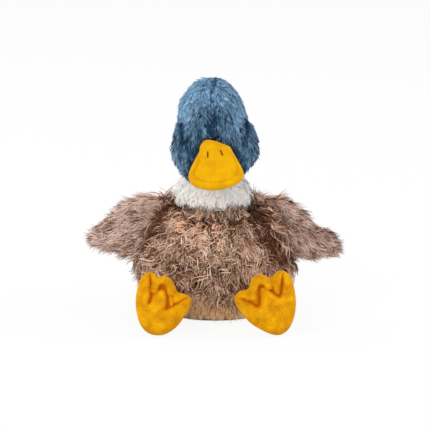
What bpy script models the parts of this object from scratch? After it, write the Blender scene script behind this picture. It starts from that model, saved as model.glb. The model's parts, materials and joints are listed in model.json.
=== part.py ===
"""Plush duck, seated, built as it is sewn: covers, stuffing, eyes, bill, wings, legs and feet.

Metres, +Z up. The duck faces -Y, so its own left side is +X. It sits on the floor at Z = 0.
Run with: blender --background --python part.py
"""

import math

import bmesh
import bpy
import numpy as np
from mathutils import Matrix, Vector
from mathutils.bvhtree import BVHTree

# Clearances and cloth
gap = 0.0003
swing_gap = 0.0008
flat_depth = 0.0005
overrun = 0.020
weld_distance = 0.00001
cutter_around = 24
shag_thickness = 0.0060
silk_thickness = 0.0040
seat_thickness = 0.0025
velour_thickness = 0.0013
thread_radius = 0.00045
thread_groove_radius = 0.00085
lining_around = 12

# Body, a pear with a flat seat
body_half_width = 0.0605
body_half_depth = 0.0545
body_height = 0.0970
body_sink = 0.0010
body_around = 12
seat_panel_height = 0.0240
body_height_shares = (0.0, 0.004, 0.035, 0.14, 0.30, 0.47, 0.64, 0.79, 0.91, 0.975, 1.0)
body_width_shares = (0.0, 0.44, 0.76, 0.91, 1.0, 1.02, 0.955, 0.82, 0.665, 0.46, 0.0)
body_depth_shares = (0.0, 0.46, 0.79, 0.93, 1.0, 1.01, 0.95, 0.83, 0.70, 0.50, 0.0)

# Tail, a short stub at the back
tail_length = 0.030
tail_half_width = 0.0150
tail_half_thickness = 0.0090
tail_cover_thickness = 0.0030
tail_around = 8
tail_root_height = 0.0330
tail_root_sink = 0.0120
tail_rise = math.radians(24)
tail_along_shares = (0.0, 0.06, 0.30, 0.62, 0.88, 1.0)
tail_width_shares = (0.0, 0.85, 1.05, 0.92, 0.50, 0.0)

# Neck, a ball of fibre in a white collar
neck_ball_radius = 0.0300
neck_sink = 0.0060
neck_forward = 0.0060
collar_thickness = 0.0050
collar_above = 0.0160
collar_below = 0.0100
turned_steps = 20

# Head, an egg with full cheeks
head_half_width = 0.0350
head_half_depth = 0.0400
head_height = 0.0905
head_lift = 0.0060
head_around = 12
head_height_shares = (0.0, 0.04, 0.13, 0.26, 0.41, 0.56, 0.70, 0.83, 0.94, 1.0)
head_width_shares = (0.0, 0.55, 0.88, 1.04, 1.06, 0.97, 0.87, 0.75, 0.48, 0.0)
head_depth_shares = (0.0, 0.50, 0.80, 0.98, 1.03, 1.00, 0.91, 0.76, 0.47, 0.0)
head_forward_shares = (0.10, 0.10, 0.20, 0.30, 0.34, 0.30, 0.22, 0.14, 0.08, 0.06)

# Bill, a flat pillow that points down over the collar
bill_length = 0.0480
bill_half_width = 0.0226
bill_half_thickness = 0.0070
bill_around = 8
bill_droop = math.radians(44)
bill_root_sink = 0.0060
bill_height_share = 0.50
bill_along_shares = (0.0, 0.05, 0.20, 0.38, 0.60, 0.80, 0.93, 1.0)
bill_width_shares = (0.0, 0.46, 0.54, 0.68, 0.93, 1.06, 0.86, 0.0)
bill_thickness_shares = (0.0, 0.70, 1.05, 1.10, 1.0, 0.80, 0.60, 0.0)
topstitch_inset = 0.0045
topstitch_start_share = 0.44
topstitch_turn_share = 0.82
topstitch_points = 5
nostril_spacing = 0.0100
nostril_length = 0.0042
nostril_place_share = 0.30

# Eyes, plastic domes with a shank and a washer
eye_radius = 0.0038
eye_dome_height = 0.0024
eye_sink = 0.0009
eye_shank_radius = 0.0012
eye_shank_tail = 0.0036
eye_side_angle = math.radians(42)
eye_height_share = 0.585
washer_radius = 0.0042
washer_thickness = 0.0010
eye_steps = 12
dome_points = 3

# Wings, paddles sewn into the side seams
wing_length = 0.0560
wing_half_height = 0.0240
wing_half_thickness = 0.0092
wing_cover_thickness = 0.0030
wing_droop = math.radians(22)
wing_stand_off = 0.0012
wing_root_radius = 0.0044
wing_root_turns = (0, 30, 60, 90)
wing_root_height_shares = (0.0, 0.60, 0.72, 0.80)
wing_seam_low_share = 0.67
wing_seam_high_share = 0.93
wing_around = 8
wing_along_shares = (0.19, 0.42, 0.68, 0.90, 1.0)
wing_height_shares = (0.95, 1.04, 0.84, 0.45, 0.0)
wing_fan_shares = (0.55, 0.0, -0.35, -0.60, -0.60)
wing_thickness_shares = (0.78, 1.05, 1.02, 0.65, 0.0)

# Legs, short tubes
leg_radius = 0.0078
leg_length = 0.0210
leg_stand_off = 0.0060
leg_around = 12
hip_height = 0.0225
hip_side_share = 0.555
leg_splay = math.radians(10)
leg_rows = 3

# Feet, webbed pads with three toes
foot_half_width = 0.0225
foot_half_height = 0.0243
foot_half_thickness = 0.0068
foot_outward = 0.0030
foot_stand_off = 0.0055
foot_lean = math.radians(10)
foot_rows = 6
pillow_fullness = 0.45
foot_outline_shares = (
    (-1.10, 0.12), (-0.94, 0.37), (-0.68, 0.43), (-0.61, 0.61), (-0.48, 0.83), (-0.23, 0.91),
    (0.03, 0.80), (0.13, 0.78), (0.23, 0.95), (0.45, 1.04), (0.61, 0.95), (0.77, 0.77),
    (0.87, 0.40), (0.91, 0.0), (0.84, -0.43), (0.68, -0.77), (0.39, -0.95), (0.13, -0.92),
    (-0.26, -0.77), (-0.61, -0.55), (-0.87, -0.25), (-1.04, -0.05),
)

# Finishes: red, green and blue as the eye sees them, roughness
finishes = {
    "brown_shag": ((0.56, 0.46, 0.39), 0.95),
    "beige_plush": ((0.72, 0.61, 0.52), 0.95),
    "blue_silk_pile": ((0.33, 0.47, 0.61), 0.85),
    "white_plush": ((0.92, 0.90, 0.88), 0.95),
    "yellow_velour": ((0.98, 0.73, 0.04), 0.90),
    "white_fibre": ((0.94, 0.94, 0.93), 1.00),
    "bean_cloth": ((0.85, 0.83, 0.78), 0.90),
    "black_plastic": ((0.03, 0.03, 0.03), 0.15),
    "clear_nylon": ((0.85, 0.85, 0.82), 0.40),
    "yellow_thread": ((0.85, 0.55, 0.05), 0.70),
    "brown_thread": ((0.22, 0.13, 0.07), 0.70),
}


def linear(value):
    """One sRGB channel as a linear value."""
    return value / 12.92 if value <= 0.04045 else ((value + 0.055) / 1.055) ** 2.4


def make_material(name):
    colour, roughness = finishes[name]
    material = bpy.data.materials.new(name)
    material.use_nodes = True
    shader = material.node_tree.nodes["Principled BSDF"]
    shader.inputs["Base Color"].default_value = [linear(c) for c in colour] + [1.0]
    shader.inputs["Roughness"].default_value = roughness
    shader.inputs["Metallic"].default_value = 0.0
    return material


def clear_scene():
    for item in list(bpy.data.objects):
        bpy.data.objects.remove(item, do_unlink=True)


clear_scene()
duck = bpy.data.collections.new("plush_duck")
cutters = bpy.data.collections.new("cutters")
bpy.context.scene.collection.children.link(duck)
bpy.context.scene.collection.children.link(cutters)
materials = {name: make_material(name) for name in finishes}


def add_empty(name, parent=None, place=(0, 0, 0), turn=None):
    """An empty that carries the pieces of one moving group, with its joint axis through it."""
    empty = bpy.data.objects.new(name, None)
    duck.objects.link(empty)
    empty.parent = parent
    turn = turn or Matrix.Identity(3)
    empty.matrix_local = Matrix.Translation(place) @ turn.to_4x4()
    return empty


def add_piece(name, mesh, finish, parent):
    piece = bpy.data.objects.new(name, mesh.copy())
    piece.data.name = name
    piece.data.materials.clear()
    piece.data.materials.append(materials[finish])
    piece.data.shade_smooth()
    duck.objects.link(piece)
    piece.parent = parent
    return piece


def add_cutter(name, mesh, parent):
    cutter = bpy.data.objects.new(name, mesh)
    cutters.objects.link(cutter)
    cutter.parent = parent
    cutter.hide_render = True
    cutter.display_type = "WIRE"
    return cutter


def trim(piece, *tools, keep=False):
    """Cut the piece by each tool, or keep only what lies inside it."""
    for tool in tools:
        step = piece.modifiers.new(tool.name, "BOOLEAN")
        step.object = tool
        step.operation = "INTERSECT" if keep else "DIFFERENCE"
        step.solver = "EXACT"


def finish_mesh(shape, name):
    mesh = bpy.data.meshes.new(name)
    shape.to_mesh(mesh)
    shape.free()
    return mesh


def evaluated(item):
    """The mesh of an object as its modifiers leave it, in its own axes. The object is removed."""
    bpy.context.view_layer.update()
    depsgraph = bpy.context.evaluated_depsgraph_get()
    mesh = bpy.data.meshes.new_from_object(item.evaluated_get(depsgraph))
    bpy.data.objects.remove(item, do_unlink=True)
    return mesh


def soft_form(name, stations, around, level=1):
    """A closed soft form through rings, each a centre and two half axes, smoothed once."""
    shape = bmesh.new()
    last = len(stations) - 1
    bmesh.ops.create_uvsphere(shape, u_segments=around, v_segments=last, radius=1)
    for vert in shape.verts:
        ring = round(math.acos(max(-1.0, min(1.0, vert.co.z))) / math.pi * last)
        turn = math.atan2(vert.co.y, vert.co.x)
        centre, across, through = stations[ring]
        vert.co = centre + across * math.cos(turn) + through * math.sin(turn)
    if shape.calc_volume(signed=True) < 0:
        bmesh.ops.reverse_faces(shape, faces=shape.faces)
    cage = add_cutter(name + "_cage", finish_mesh(shape, name), None)
    smooth = cage.modifiers.new("smooth", "SUBSURF")
    smooth.levels = level
    smooth.render_levels = level
    return evaluated(cage)


def drawn_share(around):
    """How much of its radius a ring of this many corners keeps when it is smoothed."""
    return (6 + 2 * math.cos(2 * math.pi / around)) / 8


def relaxed(stations, around):
    """The rings of a cage as smoothing leaves them."""
    drawn = drawn_share(around)
    rings = []
    for before, this, after in zip(stations[:1] + stations, stations, stations[1:] + stations[-1:]):
        centre, across, through = [(a + 6 * b + c) / 8 for a, b, c in zip(before, this, after)]
        rings.append((centre, across * drawn, through * drawn))
    for end in (0, -1):
        rings[end] = (rings[end][0], Vector(), Vector())
    return rings


def lining(name, stations, around, distance):
    """A coarser form that lies inside the smoothed one by the distance."""
    return slimmed(soft_form(name, relaxed(stations, around), lining_around, level=0), distance)


def inset(mesh, distance):
    """A copy of a closed form, moved in along its normals, or out for a negative distance."""
    shape = bmesh.new()
    shape.from_mesh(mesh)
    shape.normal_update()
    places = [vert.co - vert.normal * distance for vert in shape.verts]
    for vert, place in zip(shape.verts, places):
        vert.co = place
    return finish_mesh(shape, mesh.name + "_inset")


def slimmed(mesh, distance):
    """A copy of a thin closed form, slimmer by the distance on each side of its middle."""
    places = np.array([vert.co for vert in mesh.vertices])
    low, high = places.min(axis=0), places.max(axis=0)
    middle, half = (low + high) / 2, (high - low) / 2
    copy = mesh.copy()
    for vert, place in zip(copy.vertices, middle + (places - middle) * (1 - distance / half)):
        vert.co = place
    return copy


def box(name, low, high, parent):
    """A box cutter from its lowest corner to its highest."""
    shape = bmesh.new()
    bmesh.ops.create_cube(shape, size=1)
    size = Vector(high) - Vector(low)
    middle = (Vector(high) + Vector(low)) / 2
    for vert in shape.verts:
        vert.co = middle + Vector(a * b for a, b in zip(vert.co, size))
    return add_cutter(name, finish_mesh(shape, name), parent)


def ball(name, radius, parent):
    """A ball cutter whose flats stay outside the radius."""
    shape = bmesh.new()
    outer = radius / math.cos(math.pi / cutter_around) ** 2
    bmesh.ops.create_uvsphere(
        shape, u_segments=cutter_around, v_segments=cutter_around // 2, radius=outer)
    return add_cutter(name, finish_mesh(shape, name), parent)


def rod(name, radius, length, parent):
    """A round bar cutter along its own Z, centred, with its flats outside the radius."""
    shape = bmesh.new()
    outer = radius / math.cos(math.pi / cutter_around)
    bmesh.ops.create_cone(
        shape, cap_ends=True, segments=cutter_around, radius1=outer, radius2=outer, depth=length)
    return add_cutter(name, finish_mesh(shape, name), parent)


def turned(name, profile, steps, closed=False):
    """A turned mesh about Z. The profile runs down its outer side, as radius and height."""
    mesh = bpy.data.meshes.new(name)
    links = [(i, i + 1) for i in range(len(profile) - 1)]
    if closed:
        links.append((len(profile) - 1, 0))
    mesh.from_pydata([(radius, 0, height) for radius, height in profile], links, [])
    outline = add_cutter(name, mesh, None)
    screw = outline.modifiers.new("turn", "SCREW")
    screw.steps = steps
    screw.render_steps = steps
    screw.use_merge_vertices = True
    screw.merge_threshold = weld_distance
    return evaluated(outline)


def tube(name, points, radius, sides):
    """A closed tube mesh along the points."""
    curve = bpy.data.curves.new(name, "CURVE")
    curve.dimensions = "3D"
    curve.bevel_depth = radius
    curve.bevel_resolution = sides
    curve.use_fill_caps = True
    line = curve.splines.new("POLY")
    line.points.add(len(points) - 1)
    for spot, point in zip(line.points, points):
        spot.co = (*point, 1)
    mesh = evaluated(add_cutter(name, curve, None))
    shape = bmesh.new()
    shape.from_mesh(mesh)
    bmesh.ops.remove_doubles(shape, verts=shape.verts, dist=weld_distance)
    bmesh.ops.recalc_face_normals(shape, faces=shape.faces)
    return finish_mesh(shape, name)


def surface_point(mesh, start, direction):
    """Where a line from start meets the mesh, and the mesh's normal there."""
    shape = bmesh.new()
    shape.from_mesh(mesh)
    tree = BVHTree.FromBMesh(shape)
    place, normal, _, _ = tree.ray_cast(Vector(start), Vector(direction))
    shape.free()
    return place, normal


root = add_empty("duck_root")


# Body
def body_rings():
    """Rings of the body, with the lowest one under the floor, so that the seat is cut flat."""
    rings = []
    for height, width, depth in zip(body_height_shares, body_width_shares, body_depth_shares):
        rings.append((
            Vector((0, 0, height * body_height - body_sink)),
            Vector((width * body_half_width, 0, 0)),
            Vector((0, depth * body_half_depth, 0)),
        ))
    return rings


def body_width_at(share):
    return body_half_width * float(np.interp(share, body_height_shares, body_width_shares))


body_outer = soft_form("body_form", body_rings(), body_around)
shag_room = lining("shag_room", body_rings(), body_around, shag_thickness)
seat_room = lining("seat_room", body_rings(), body_around, seat_thickness)

reach = body_half_width + overrun
top = body_height + overrun
split_low = seat_panel_height - gap / 2
split_high = seat_panel_height + gap / 2
front_zone = box("front_zone", (-reach, -reach, split_high), (reach, -gap / 2, top), root)
back_zone = box("back_zone", (-reach, gap / 2, split_high), (reach, reach, top), root)
upper_zone = box("upper_zone", (-reach, -reach, split_high), (reach, reach, top), root)
seat_zone = box("seat_zone", (-reach, -reach, 0), (reach, reach, split_low), root)
shag_hollow = add_cutter("shag_hollow", shag_room, root)
seat_hollow = add_cutter("seat_hollow", seat_room, root)

body_front_cover = add_piece("body_front_cover", body_outer, "brown_shag", root)
body_back_cover = add_piece("body_back_cover", body_outer, "brown_shag", root)
base_panel = add_piece("base_panel", body_outer, "beige_plush", root)
body_stuffing = add_piece("body_stuffing", inset(shag_room, gap), "white_fibre", root)
bean_bag = add_piece("bean_bag", inset(seat_room, gap), "bean_cloth", root)
trim(body_front_cover, front_zone, keep=True)
trim(body_back_cover, back_zone, keep=True)
trim(base_panel, seat_zone, keep=True)
trim(body_stuffing, upper_zone, keep=True)
trim(bean_bag, seat_zone, keep=True)
trim(body_front_cover, shag_hollow)
trim(body_back_cover, shag_hollow)
trim(base_panel, seat_hollow)

# Neck and collar
neck_place = Vector((0, -neck_forward, body_height - neck_sink))
neck_pivot = add_empty("neck_pivot", root, neck_place)
neck_socket = ball("neck_socket", neck_ball_radius + gap, neck_pivot)
trim(body_front_cover, neck_socket)
trim(body_back_cover, neck_socket)
trim(body_stuffing, neck_socket)


def arc(radius, high, low, count):
    """Points of an arc about the centre, as radius and height, from one height to another."""
    start = math.asin(high / radius)
    end = math.asin(low / radius)
    turns = [start + (end - start) * i / (count - 1) for i in range(count)]
    return [(radius * math.cos(turn), radius * math.sin(turn)) for turn in turns]


def make_neck():
    inner = neck_ball_radius - collar_thickness
    collar = arc(neck_ball_radius, collar_above, -collar_below, 5)
    collar += arc(inner, -collar_below, collar_above, 5)
    collar_mesh = turned("neck_collar", collar, turned_steps, closed=True)
    add_piece("neck_collar", collar_mesh, "white_plush", neck_pivot)
    fill = arc(neck_ball_radius, neck_ball_radius, collar_above + gap, 5)
    fill += arc(inner - gap, collar_above + gap, -collar_below - gap, 4)
    fill += arc(neck_ball_radius, -collar_below - gap, -neck_ball_radius, 6)
    fill[0] = (0, neck_ball_radius)
    fill[-1] = (0, -neck_ball_radius)
    fill_mesh = turned("neck_stuffing", fill, turned_steps)
    add_piece("neck_stuffing", fill_mesh, "white_fibre", neck_pivot)


make_neck()

# Head
head_pivot = add_empty("head_pivot", neck_pivot)


def head_rings():
    """Rings of the head about the neck's centre."""
    stations = []
    tables = zip(head_height_shares, head_width_shares, head_depth_shares, head_forward_shares)
    for height, width, depth, forward in tables:
        stations.append((
            Vector((0, -forward * head_half_depth, head_lift + height * head_height)),
            Vector((width * head_half_width, 0, 0)),
            Vector((0, depth * head_half_depth, 0)),
        ))
    return stations


head_outer = soft_form("head_form", head_rings(), head_around)
head_room = lining("head_room", head_rings(), head_around, silk_thickness)
head_hollow = add_cutter("head_hollow", head_room, head_pivot)
head_socket = ball("head_socket", neck_ball_radius + gap, head_pivot)
head_reach = head_height + overrun
left_zone = box("left_zone", (gap / 2, -head_reach, 0), (head_reach,) * 3, head_pivot)
right_zone = box(
    "right_zone", (-head_reach, -head_reach, 0), (-gap / 2, head_reach, head_reach), head_pivot)
head_left_cover = add_piece("head_left_cover", head_outer, "blue_silk_pile", head_pivot)
head_right_cover = add_piece("head_right_cover", head_outer, "blue_silk_pile", head_pivot)
head_stuffing = add_piece("head_stuffing", inset(head_room, gap), "white_fibre", head_pivot)
trim(head_left_cover, left_zone, keep=True)
trim(head_right_cover, right_zone, keep=True)
for cover in (head_left_cover, head_right_cover):
    trim(cover, head_hollow, head_socket)
trim(head_stuffing, head_socket)

# Bill, in axes of its own: X across, Y out along the bill, Z through it, upper side up
bill_root, _ = surface_point(
    head_outer, (0, -head_reach, head_lift + bill_height_share * head_height), (0, 1, 0))
bill_turn = Matrix.Rotation(math.pi, 3, "Z") @ Matrix.Rotation(-bill_droop, 3, "X")
bill_place = bill_root - bill_turn @ Vector((0, bill_root_sink, 0))
bill_pivot = add_empty("bill_pivot", head_pivot, bill_place, bill_turn)


def bill_rings():
    stations = []
    for along, width, thick in zip(bill_along_shares, bill_width_shares, bill_thickness_shares):
        stations.append((
            Vector((0, along * bill_length, 0)),
            Vector((width * bill_half_width, 0, 0)),
            Vector((0, 0, thick * bill_half_thickness)),
        ))
    return stations


def bill_width_at(share):
    return bill_half_width * float(np.interp(share, bill_along_shares, bill_width_shares))


def on_bill(across, along):
    """The point of the bill's upper side over a place in its plane."""
    place, _ = surface_point(bill_outer, (across, along, bill_length), (0, 0, -1))
    return place


def topstitch_path():
    """A row of stitches that follows the bill's rim, set in from it."""
    front = bill_length - topstitch_inset
    turn_along = topstitch_turn_share * bill_length
    turn_across = bill_width_at(topstitch_turn_share) - topstitch_inset
    side = []
    span_share = topstitch_turn_share - topstitch_start_share
    for i in range(topstitch_points):
        share = topstitch_start_share + span_share * i / topstitch_points
        side.append((bill_width_at(share) - topstitch_inset, share * bill_length))
    sweep = [math.pi * i / (2 * topstitch_points) for i in range(2 * topstitch_points + 1)]
    deep = front - turn_along
    curve = [(turn_across * math.cos(a), turn_along + deep * math.sin(a)) for a in sweep]
    other = [(-across, along) for across, along in reversed(side)]
    return [on_bill(across, along) for across, along in side + curve + other]


bill_outer = soft_form("bill_form", bill_rings(), bill_around)
bill_room = lining("bill_room", bill_rings(), bill_around, velour_thickness)
bill_hollow = add_cutter("bill_hollow", bill_room, bill_pivot)
bill_seat = add_cutter("bill_seat", inset(bill_outer, -gap), bill_pivot)
bill_reach = bill_length + overrun
bill_up_zone = box("bill_up_zone", (-bill_reach, -bill_reach, gap / 2), (bill_reach,) * 3, bill_pivot)
bill_down_zone = box(
    "bill_down_zone", (-bill_reach,) * 3, (bill_reach, bill_reach, -gap / 2), bill_pivot)
bill_upper = add_piece("bill_upper", bill_outer, "yellow_velour", bill_pivot)
bill_lower = add_piece("bill_lower", bill_outer, "yellow_velour", bill_pivot)
add_piece("bill_padding", inset(bill_room, 2 * gap), "white_fibre", bill_pivot)
trim(bill_upper, bill_up_zone, keep=True)
trim(bill_lower, bill_down_zone, keep=True)
trim(bill_upper, bill_hollow)
trim(bill_lower, bill_hollow)
trim(head_left_cover, bill_seat)
trim(head_right_cover, bill_seat)
trim(head_stuffing, bill_seat)


def sew(name, points, cover, finish, parent):
    """A thread that lies half sunk in a groove of the cover."""
    groove = tube(name + "_groove", points, thread_groove_radius, 1)
    trim(cover, add_cutter(name + "_groove", groove, parent))
    add_piece(name, tube(name, points, thread_radius, 0), finish, parent)


sew("bill_topstitch", topstitch_path(), bill_upper, "yellow_thread", bill_pivot)
for side, name in ((-1, "nostril_stitch_left"), (1, "nostril_stitch_right")):
    middle = nostril_place_share * bill_length
    spots = [middle - nostril_length / 2, middle, middle + nostril_length / 2]
    stitch = [on_bill(side * nostril_spacing / 2, spot) for spot in spots]
    sew(name, stitch, bill_upper, "brown_thread", bill_pivot)


# Eyes
def make_eye(side, label):
    """A dome with its shank through the cover, and the washer that locks it behind."""
    height = head_lift + eye_height_share * head_height
    look = Vector((side * math.sin(eye_side_angle), -math.cos(eye_side_angle), 0))
    forward = float(np.interp(eye_height_share, head_height_shares, head_forward_shares))
    centre = Vector((0, -forward * head_half_depth, height))
    place, normal = surface_point(head_outer, centre + look * head_reach, -look)
    turn = normal.to_track_quat("Z", "Y").to_matrix()
    pivot = add_empty("eye_pivot_" + label, head_pivot, place - normal * eye_sink, turn)
    washer_top = eye_sink - silk_thickness - gap
    shank_end = washer_top - washer_thickness - eye_shank_tail / 2
    dome = []
    for i in range(dome_points):
        turn_share = i / dome_points
        dome.append((
            eye_radius * math.sin(turn_share * math.pi / 2),
            gap + eye_dome_height * math.cos(turn_share * math.pi / 2),
        ))
    dome += [(eye_radius, gap), (eye_shank_radius, gap), (eye_shank_radius, shank_end), (0, shank_end)]
    add_piece("eye_" + label, turned("eye_" + label, dome, eye_steps), "black_plastic", pivot)
    ring = [
        (washer_radius, washer_top), (washer_radius, washer_top - washer_thickness),
        (eye_shank_radius + gap, washer_top - washer_thickness), (eye_shank_radius + gap, washer_top),
    ]
    washer = turned("eye_washer_" + label, ring, eye_steps, closed=True)
    add_piece("eye_washer_" + label, washer, "clear_nylon", pivot)
    wide = eye_radius + gap
    narrow = eye_shank_radius + gap
    room_end = washer_top - washer_thickness - eye_shank_tail
    room = [
        (0, 2 * eye_dome_height), (wide, 2 * eye_dome_height), (wide, 0), (narrow, 0),
        (narrow, washer_top + gap), (washer_radius + gap, washer_top + gap),
        (washer_radius + gap, room_end), (0, room_end),
    ]
    cutter = add_cutter("eye_room_" + label, turned("eye_room_" + label, room, eye_steps), pivot)
    trim(head_left_cover if side > 0 else head_right_cover, cutter)
    trim(head_stuffing, cutter)


make_eye(1, "left")
make_eye(-1, "right")


# Tail
def make_tail():
    """A stub cut to the body's back, where its open end is sewn on."""
    place, _ = surface_point(body_outer, (0, reach, tail_root_height), (0, -1, 0))
    turn = Matrix.Rotation(tail_rise, 3, "X")
    pivot = add_empty("tail_pivot", root, place - turn @ Vector((0, tail_root_sink, 0)), turn)
    length = tail_length + tail_root_sink
    stations = []
    for along, width in zip(tail_along_shares, tail_width_shares):
        stations.append((
            Vector((0, along * length, 0)),
            Vector((width * tail_half_width, 0, 0)),
            Vector((0, 0, width * tail_half_thickness)),
        ))
    outer = soft_form("tail_form", stations, tail_around)
    body_seat = add_cutter("tail_seat", inset(body_outer, -gap), root)
    room = lining("tail_room", stations, tail_around, tail_cover_thickness)
    cover = add_piece("tail_cover", outer, "brown_shag", pivot)
    trim(cover, add_cutter("tail_hollow", room, pivot), body_seat)
    fill = add_piece("tail_stuffing", inset(room, gap), "white_fibre", pivot)
    trim(fill, body_seat)


make_tail()


# Wings
def make_wing(side, label):
    """A flat paddle in the plane of the side seam, which is its hinge line."""
    ends = [
        Vector((body_width_at(share) + wing_stand_off, 0, share * body_height))
        for share in (wing_seam_low_share, wing_seam_high_share)
    ]
    low, high = ends
    middle = (low + high) / 2
    middle.x *= side
    seam = (high - low).normalized()
    seam.x *= side
    forward = Vector((0, -1, 0))
    turn = Matrix((forward.cross(seam), forward, seam)).transposed()
    pivot = add_empty("wing_pivot_" + label, root, middle, turn)
    along = turn.inverted() @ Vector((side * math.cos(wing_droop), 0, -math.sin(wing_droop)))
    away = turn.inverted() @ Vector((side * seam.z, 0, -side * seam.x))
    root_radius = wing_root_radius / drawn_share(wing_around)
    rings = []
    for degrees, height in zip(wing_root_turns, wing_root_height_shares):
        turn_in = math.radians(degrees)
        place = away * -root_radius * math.cos(turn_in)
        rings.append((place, height, root_radius * math.sin(turn_in), 1))
    tables = zip(wing_along_shares, wing_height_shares, wing_thickness_shares, wing_fan_shares)
    for share, height, thick, fan in tables:
        rings.append((along * share * wing_length, height, thick * wing_half_thickness, fan))
    seam_tilt = math.atan2(seam.x, seam.z)
    stations = []
    for place, height, thick, fan in rings:
        up = Vector((math.sin(seam_tilt * fan), 0, math.cos(seam_tilt * fan)))
        stations.append((
            place,
            Vector((0, thick, 0)),
            turn.inverted() @ up * height * wing_half_height,
        ))
    outer = soft_form("wing_form", stations, wing_around)
    room = lining("wing_room", stations, wing_around, wing_cover_thickness)
    hollow = add_cutter("wing_hollow_" + label, room, pivot)
    wide = wing_length + wing_half_height + overrun
    front_half = box("wing_front_" + label, (-wide, gap / 2, -wide), (wide, wide, wide), pivot)
    back_half = box("wing_back_" + label, (-wide, -wide, -wide), (wide, -gap / 2, wide), pivot)
    for part, zone in (("front", front_half), ("back", back_half)):
        cover = add_piece(f"wing_{part}_cover_{label}", outer, "brown_shag", pivot)
        trim(cover, zone, keep=True)
        trim(cover, hollow)
    add_piece("wing_padding_" + label, inset(room, gap), "white_fibre", pivot)
    groove = rod("wing_groove_" + label, wing_root_radius + swing_gap, 2 * body_height, pivot)
    for piece in (body_front_cover, body_back_cover, body_stuffing):
        trim(piece, groove)


make_wing(1, "left")
make_wing(-1, "right")


# Legs and feet
def leg_form(radius, length):
    """A short tube with round ends, along its own Y, from the hip to the ankle."""
    stations = []
    for i in range(leg_rows + 1):
        turn = math.pi / 2 * i / leg_rows
        stations.append((-radius * math.cos(turn), radius * math.sin(turn)))
    for i in range(leg_rows + 1):
        turn = math.pi / 2 * (1 - i / leg_rows)
        stations.append((length + radius * math.cos(turn), radius * math.sin(turn)))
    rings = [
        (Vector((0, along, 0)), Vector((wide, 0, 0)), Vector((0, 0, wide)))
        for along, wide in stations
    ]
    return soft_form("leg_form", rings, leg_around, level=0)


def foot_outline(side, shrink):
    """The sole's outline, toes up and the big outer toe away from the duck's middle."""
    corners = [
        Vector((side * across * foot_half_width, up * foot_half_height))
        for across, up in foot_outline_shares
    ]
    if side < 0:
        corners.reverse()
    drawn = []
    for before, corner, after in zip(corners[-1:] + corners, corners, corners[1:] + corners[:1]):
        run = (after - before).normalized()
        drawn.append(corner + Vector((run.y, -run.x)) * shrink)
    return drawn


def foot_form(side, shrink, middle):
    """A pillow on the outline, as deep as the foot, drawn in by the same distance all over."""
    outline = foot_outline(side, shrink)
    shape = bmesh.new()
    bmesh.ops.create_uvsphere(shape, u_segments=len(outline), v_segments=foot_rows, radius=1)
    for vert in shape.verts:
        turn = math.atan2(vert.co.x, vert.co.y) / (2 * math.pi)
        corner = outline[round(turn * len(outline)) % len(outline)]
        out = math.hypot(vert.co.x, vert.co.y) ** pillow_fullness
        deep = vert.co.z * (foot_half_thickness - shrink)
        vert.co = middle + Vector((corner.x * out, deep, corner.y * out))
    if shape.calc_volume(signed=True) < 0:
        bmesh.ops.reverse_faces(shape, faces=shape.faces)
    return finish_mesh(shape, "foot_form")


def make_leg(side, label):
    place, _ = surface_point(
        body_outer, (side * hip_side_share * body_half_width, -reach, hip_height), (0, 1, 0))
    turn = Matrix.Rotation(math.pi, 3, "Z") @ Matrix.Rotation(-side * leg_splay, 3, "Z").inverted()
    hip = add_empty("hip_pivot_" + label, root, place - Vector((0, leg_stand_off, 0)), turn)
    outer = leg_form(leg_radius, leg_length)
    hollow = add_cutter(
        "leg_hollow_" + label, leg_form(leg_radius - velour_thickness, leg_length), hip)
    cover = add_piece("leg_cover_" + label, outer, "yellow_velour", hip)
    wide = leg_radius + overrun
    far_end = leg_length + leg_radius / 2
    open_ends = box(
        "leg_span_" + label, (-wide, -leg_radius / 2, -wide), (wide, far_end, wide), hip)
    trim(cover, open_ends, keep=True)
    trim(cover, hollow)
    fill_mesh = leg_form(leg_radius - velour_thickness - gap, leg_length)
    add_piece("leg_stuffing_" + label, fill_mesh, "white_fibre", hip)
    socket = ball("hip_socket_" + label, leg_radius + swing_gap, hip)
    for piece in (body_front_cover, body_stuffing, base_panel, bean_bag):
        trim(piece, socket)
    return hip


def make_foot(side, label, hip):
    ankle_place = Vector((0, leg_length, 0))
    bpy.context.view_layer.update()
    hip_world = hip.matrix_world
    turn = hip_world.to_3x3().inverted() @ Matrix.Rotation(-foot_lean, 3, "X")
    ankle = add_empty("ankle_pivot_" + label, hip, ankle_place, turn)
    bpy.context.view_layer.update()
    ankle_world = ankle.matrix_world.translation
    lowest = min(up for _, up in foot_outline_shares) * foot_half_height
    middle = Vector((side * foot_outward, -foot_stand_off - foot_half_thickness, 0))
    middle.z = -lowest - (ankle_world.z + flat_depth) / math.cos(foot_lean)
    middle.z += middle.y * math.tan(foot_lean)
    outer = foot_form(side, 0, middle)
    ankle_socket = ball("ankle_socket_" + label, leg_radius + gap, ankle)
    hollow = add_cutter("foot_hollow_" + label, foot_form(side, velour_thickness, middle), ankle)
    wide = foot_half_width + foot_half_height + overrun
    level = middle.y
    sole_zone = box("sole_zone_" + label, (-wide, -wide, -wide), (wide, level - gap / 2, wide), ankle)
    top_zone = box("top_zone_" + label, (-wide, level + gap / 2, -wide), (wide, wide, wide), ankle)
    for part, zone in (("sole", sole_zone), ("upper", top_zone)):
        cover = add_piece(f"foot_{part}_{label}", outer, "yellow_velour", ankle)
        trim(cover, zone, keep=True)
        trim(cover, hollow, ankle_socket)
        trim(cover, floor_block)
    fill = add_piece(
        "foot_padding_" + label, foot_form(side, velour_thickness + gap, middle), "white_fibre", ankle)
    trim(fill, ankle_socket)


floor_reach = reach + leg_length + 2 * foot_half_width
floor_block = box(
    "floor_block", (-floor_reach, -floor_reach, -overrun), (floor_reach, floor_reach, 0), root)
for side, label in ((1, "left"), (-1, "right")):
    make_foot(side, label, make_leg(side, label))


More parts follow.
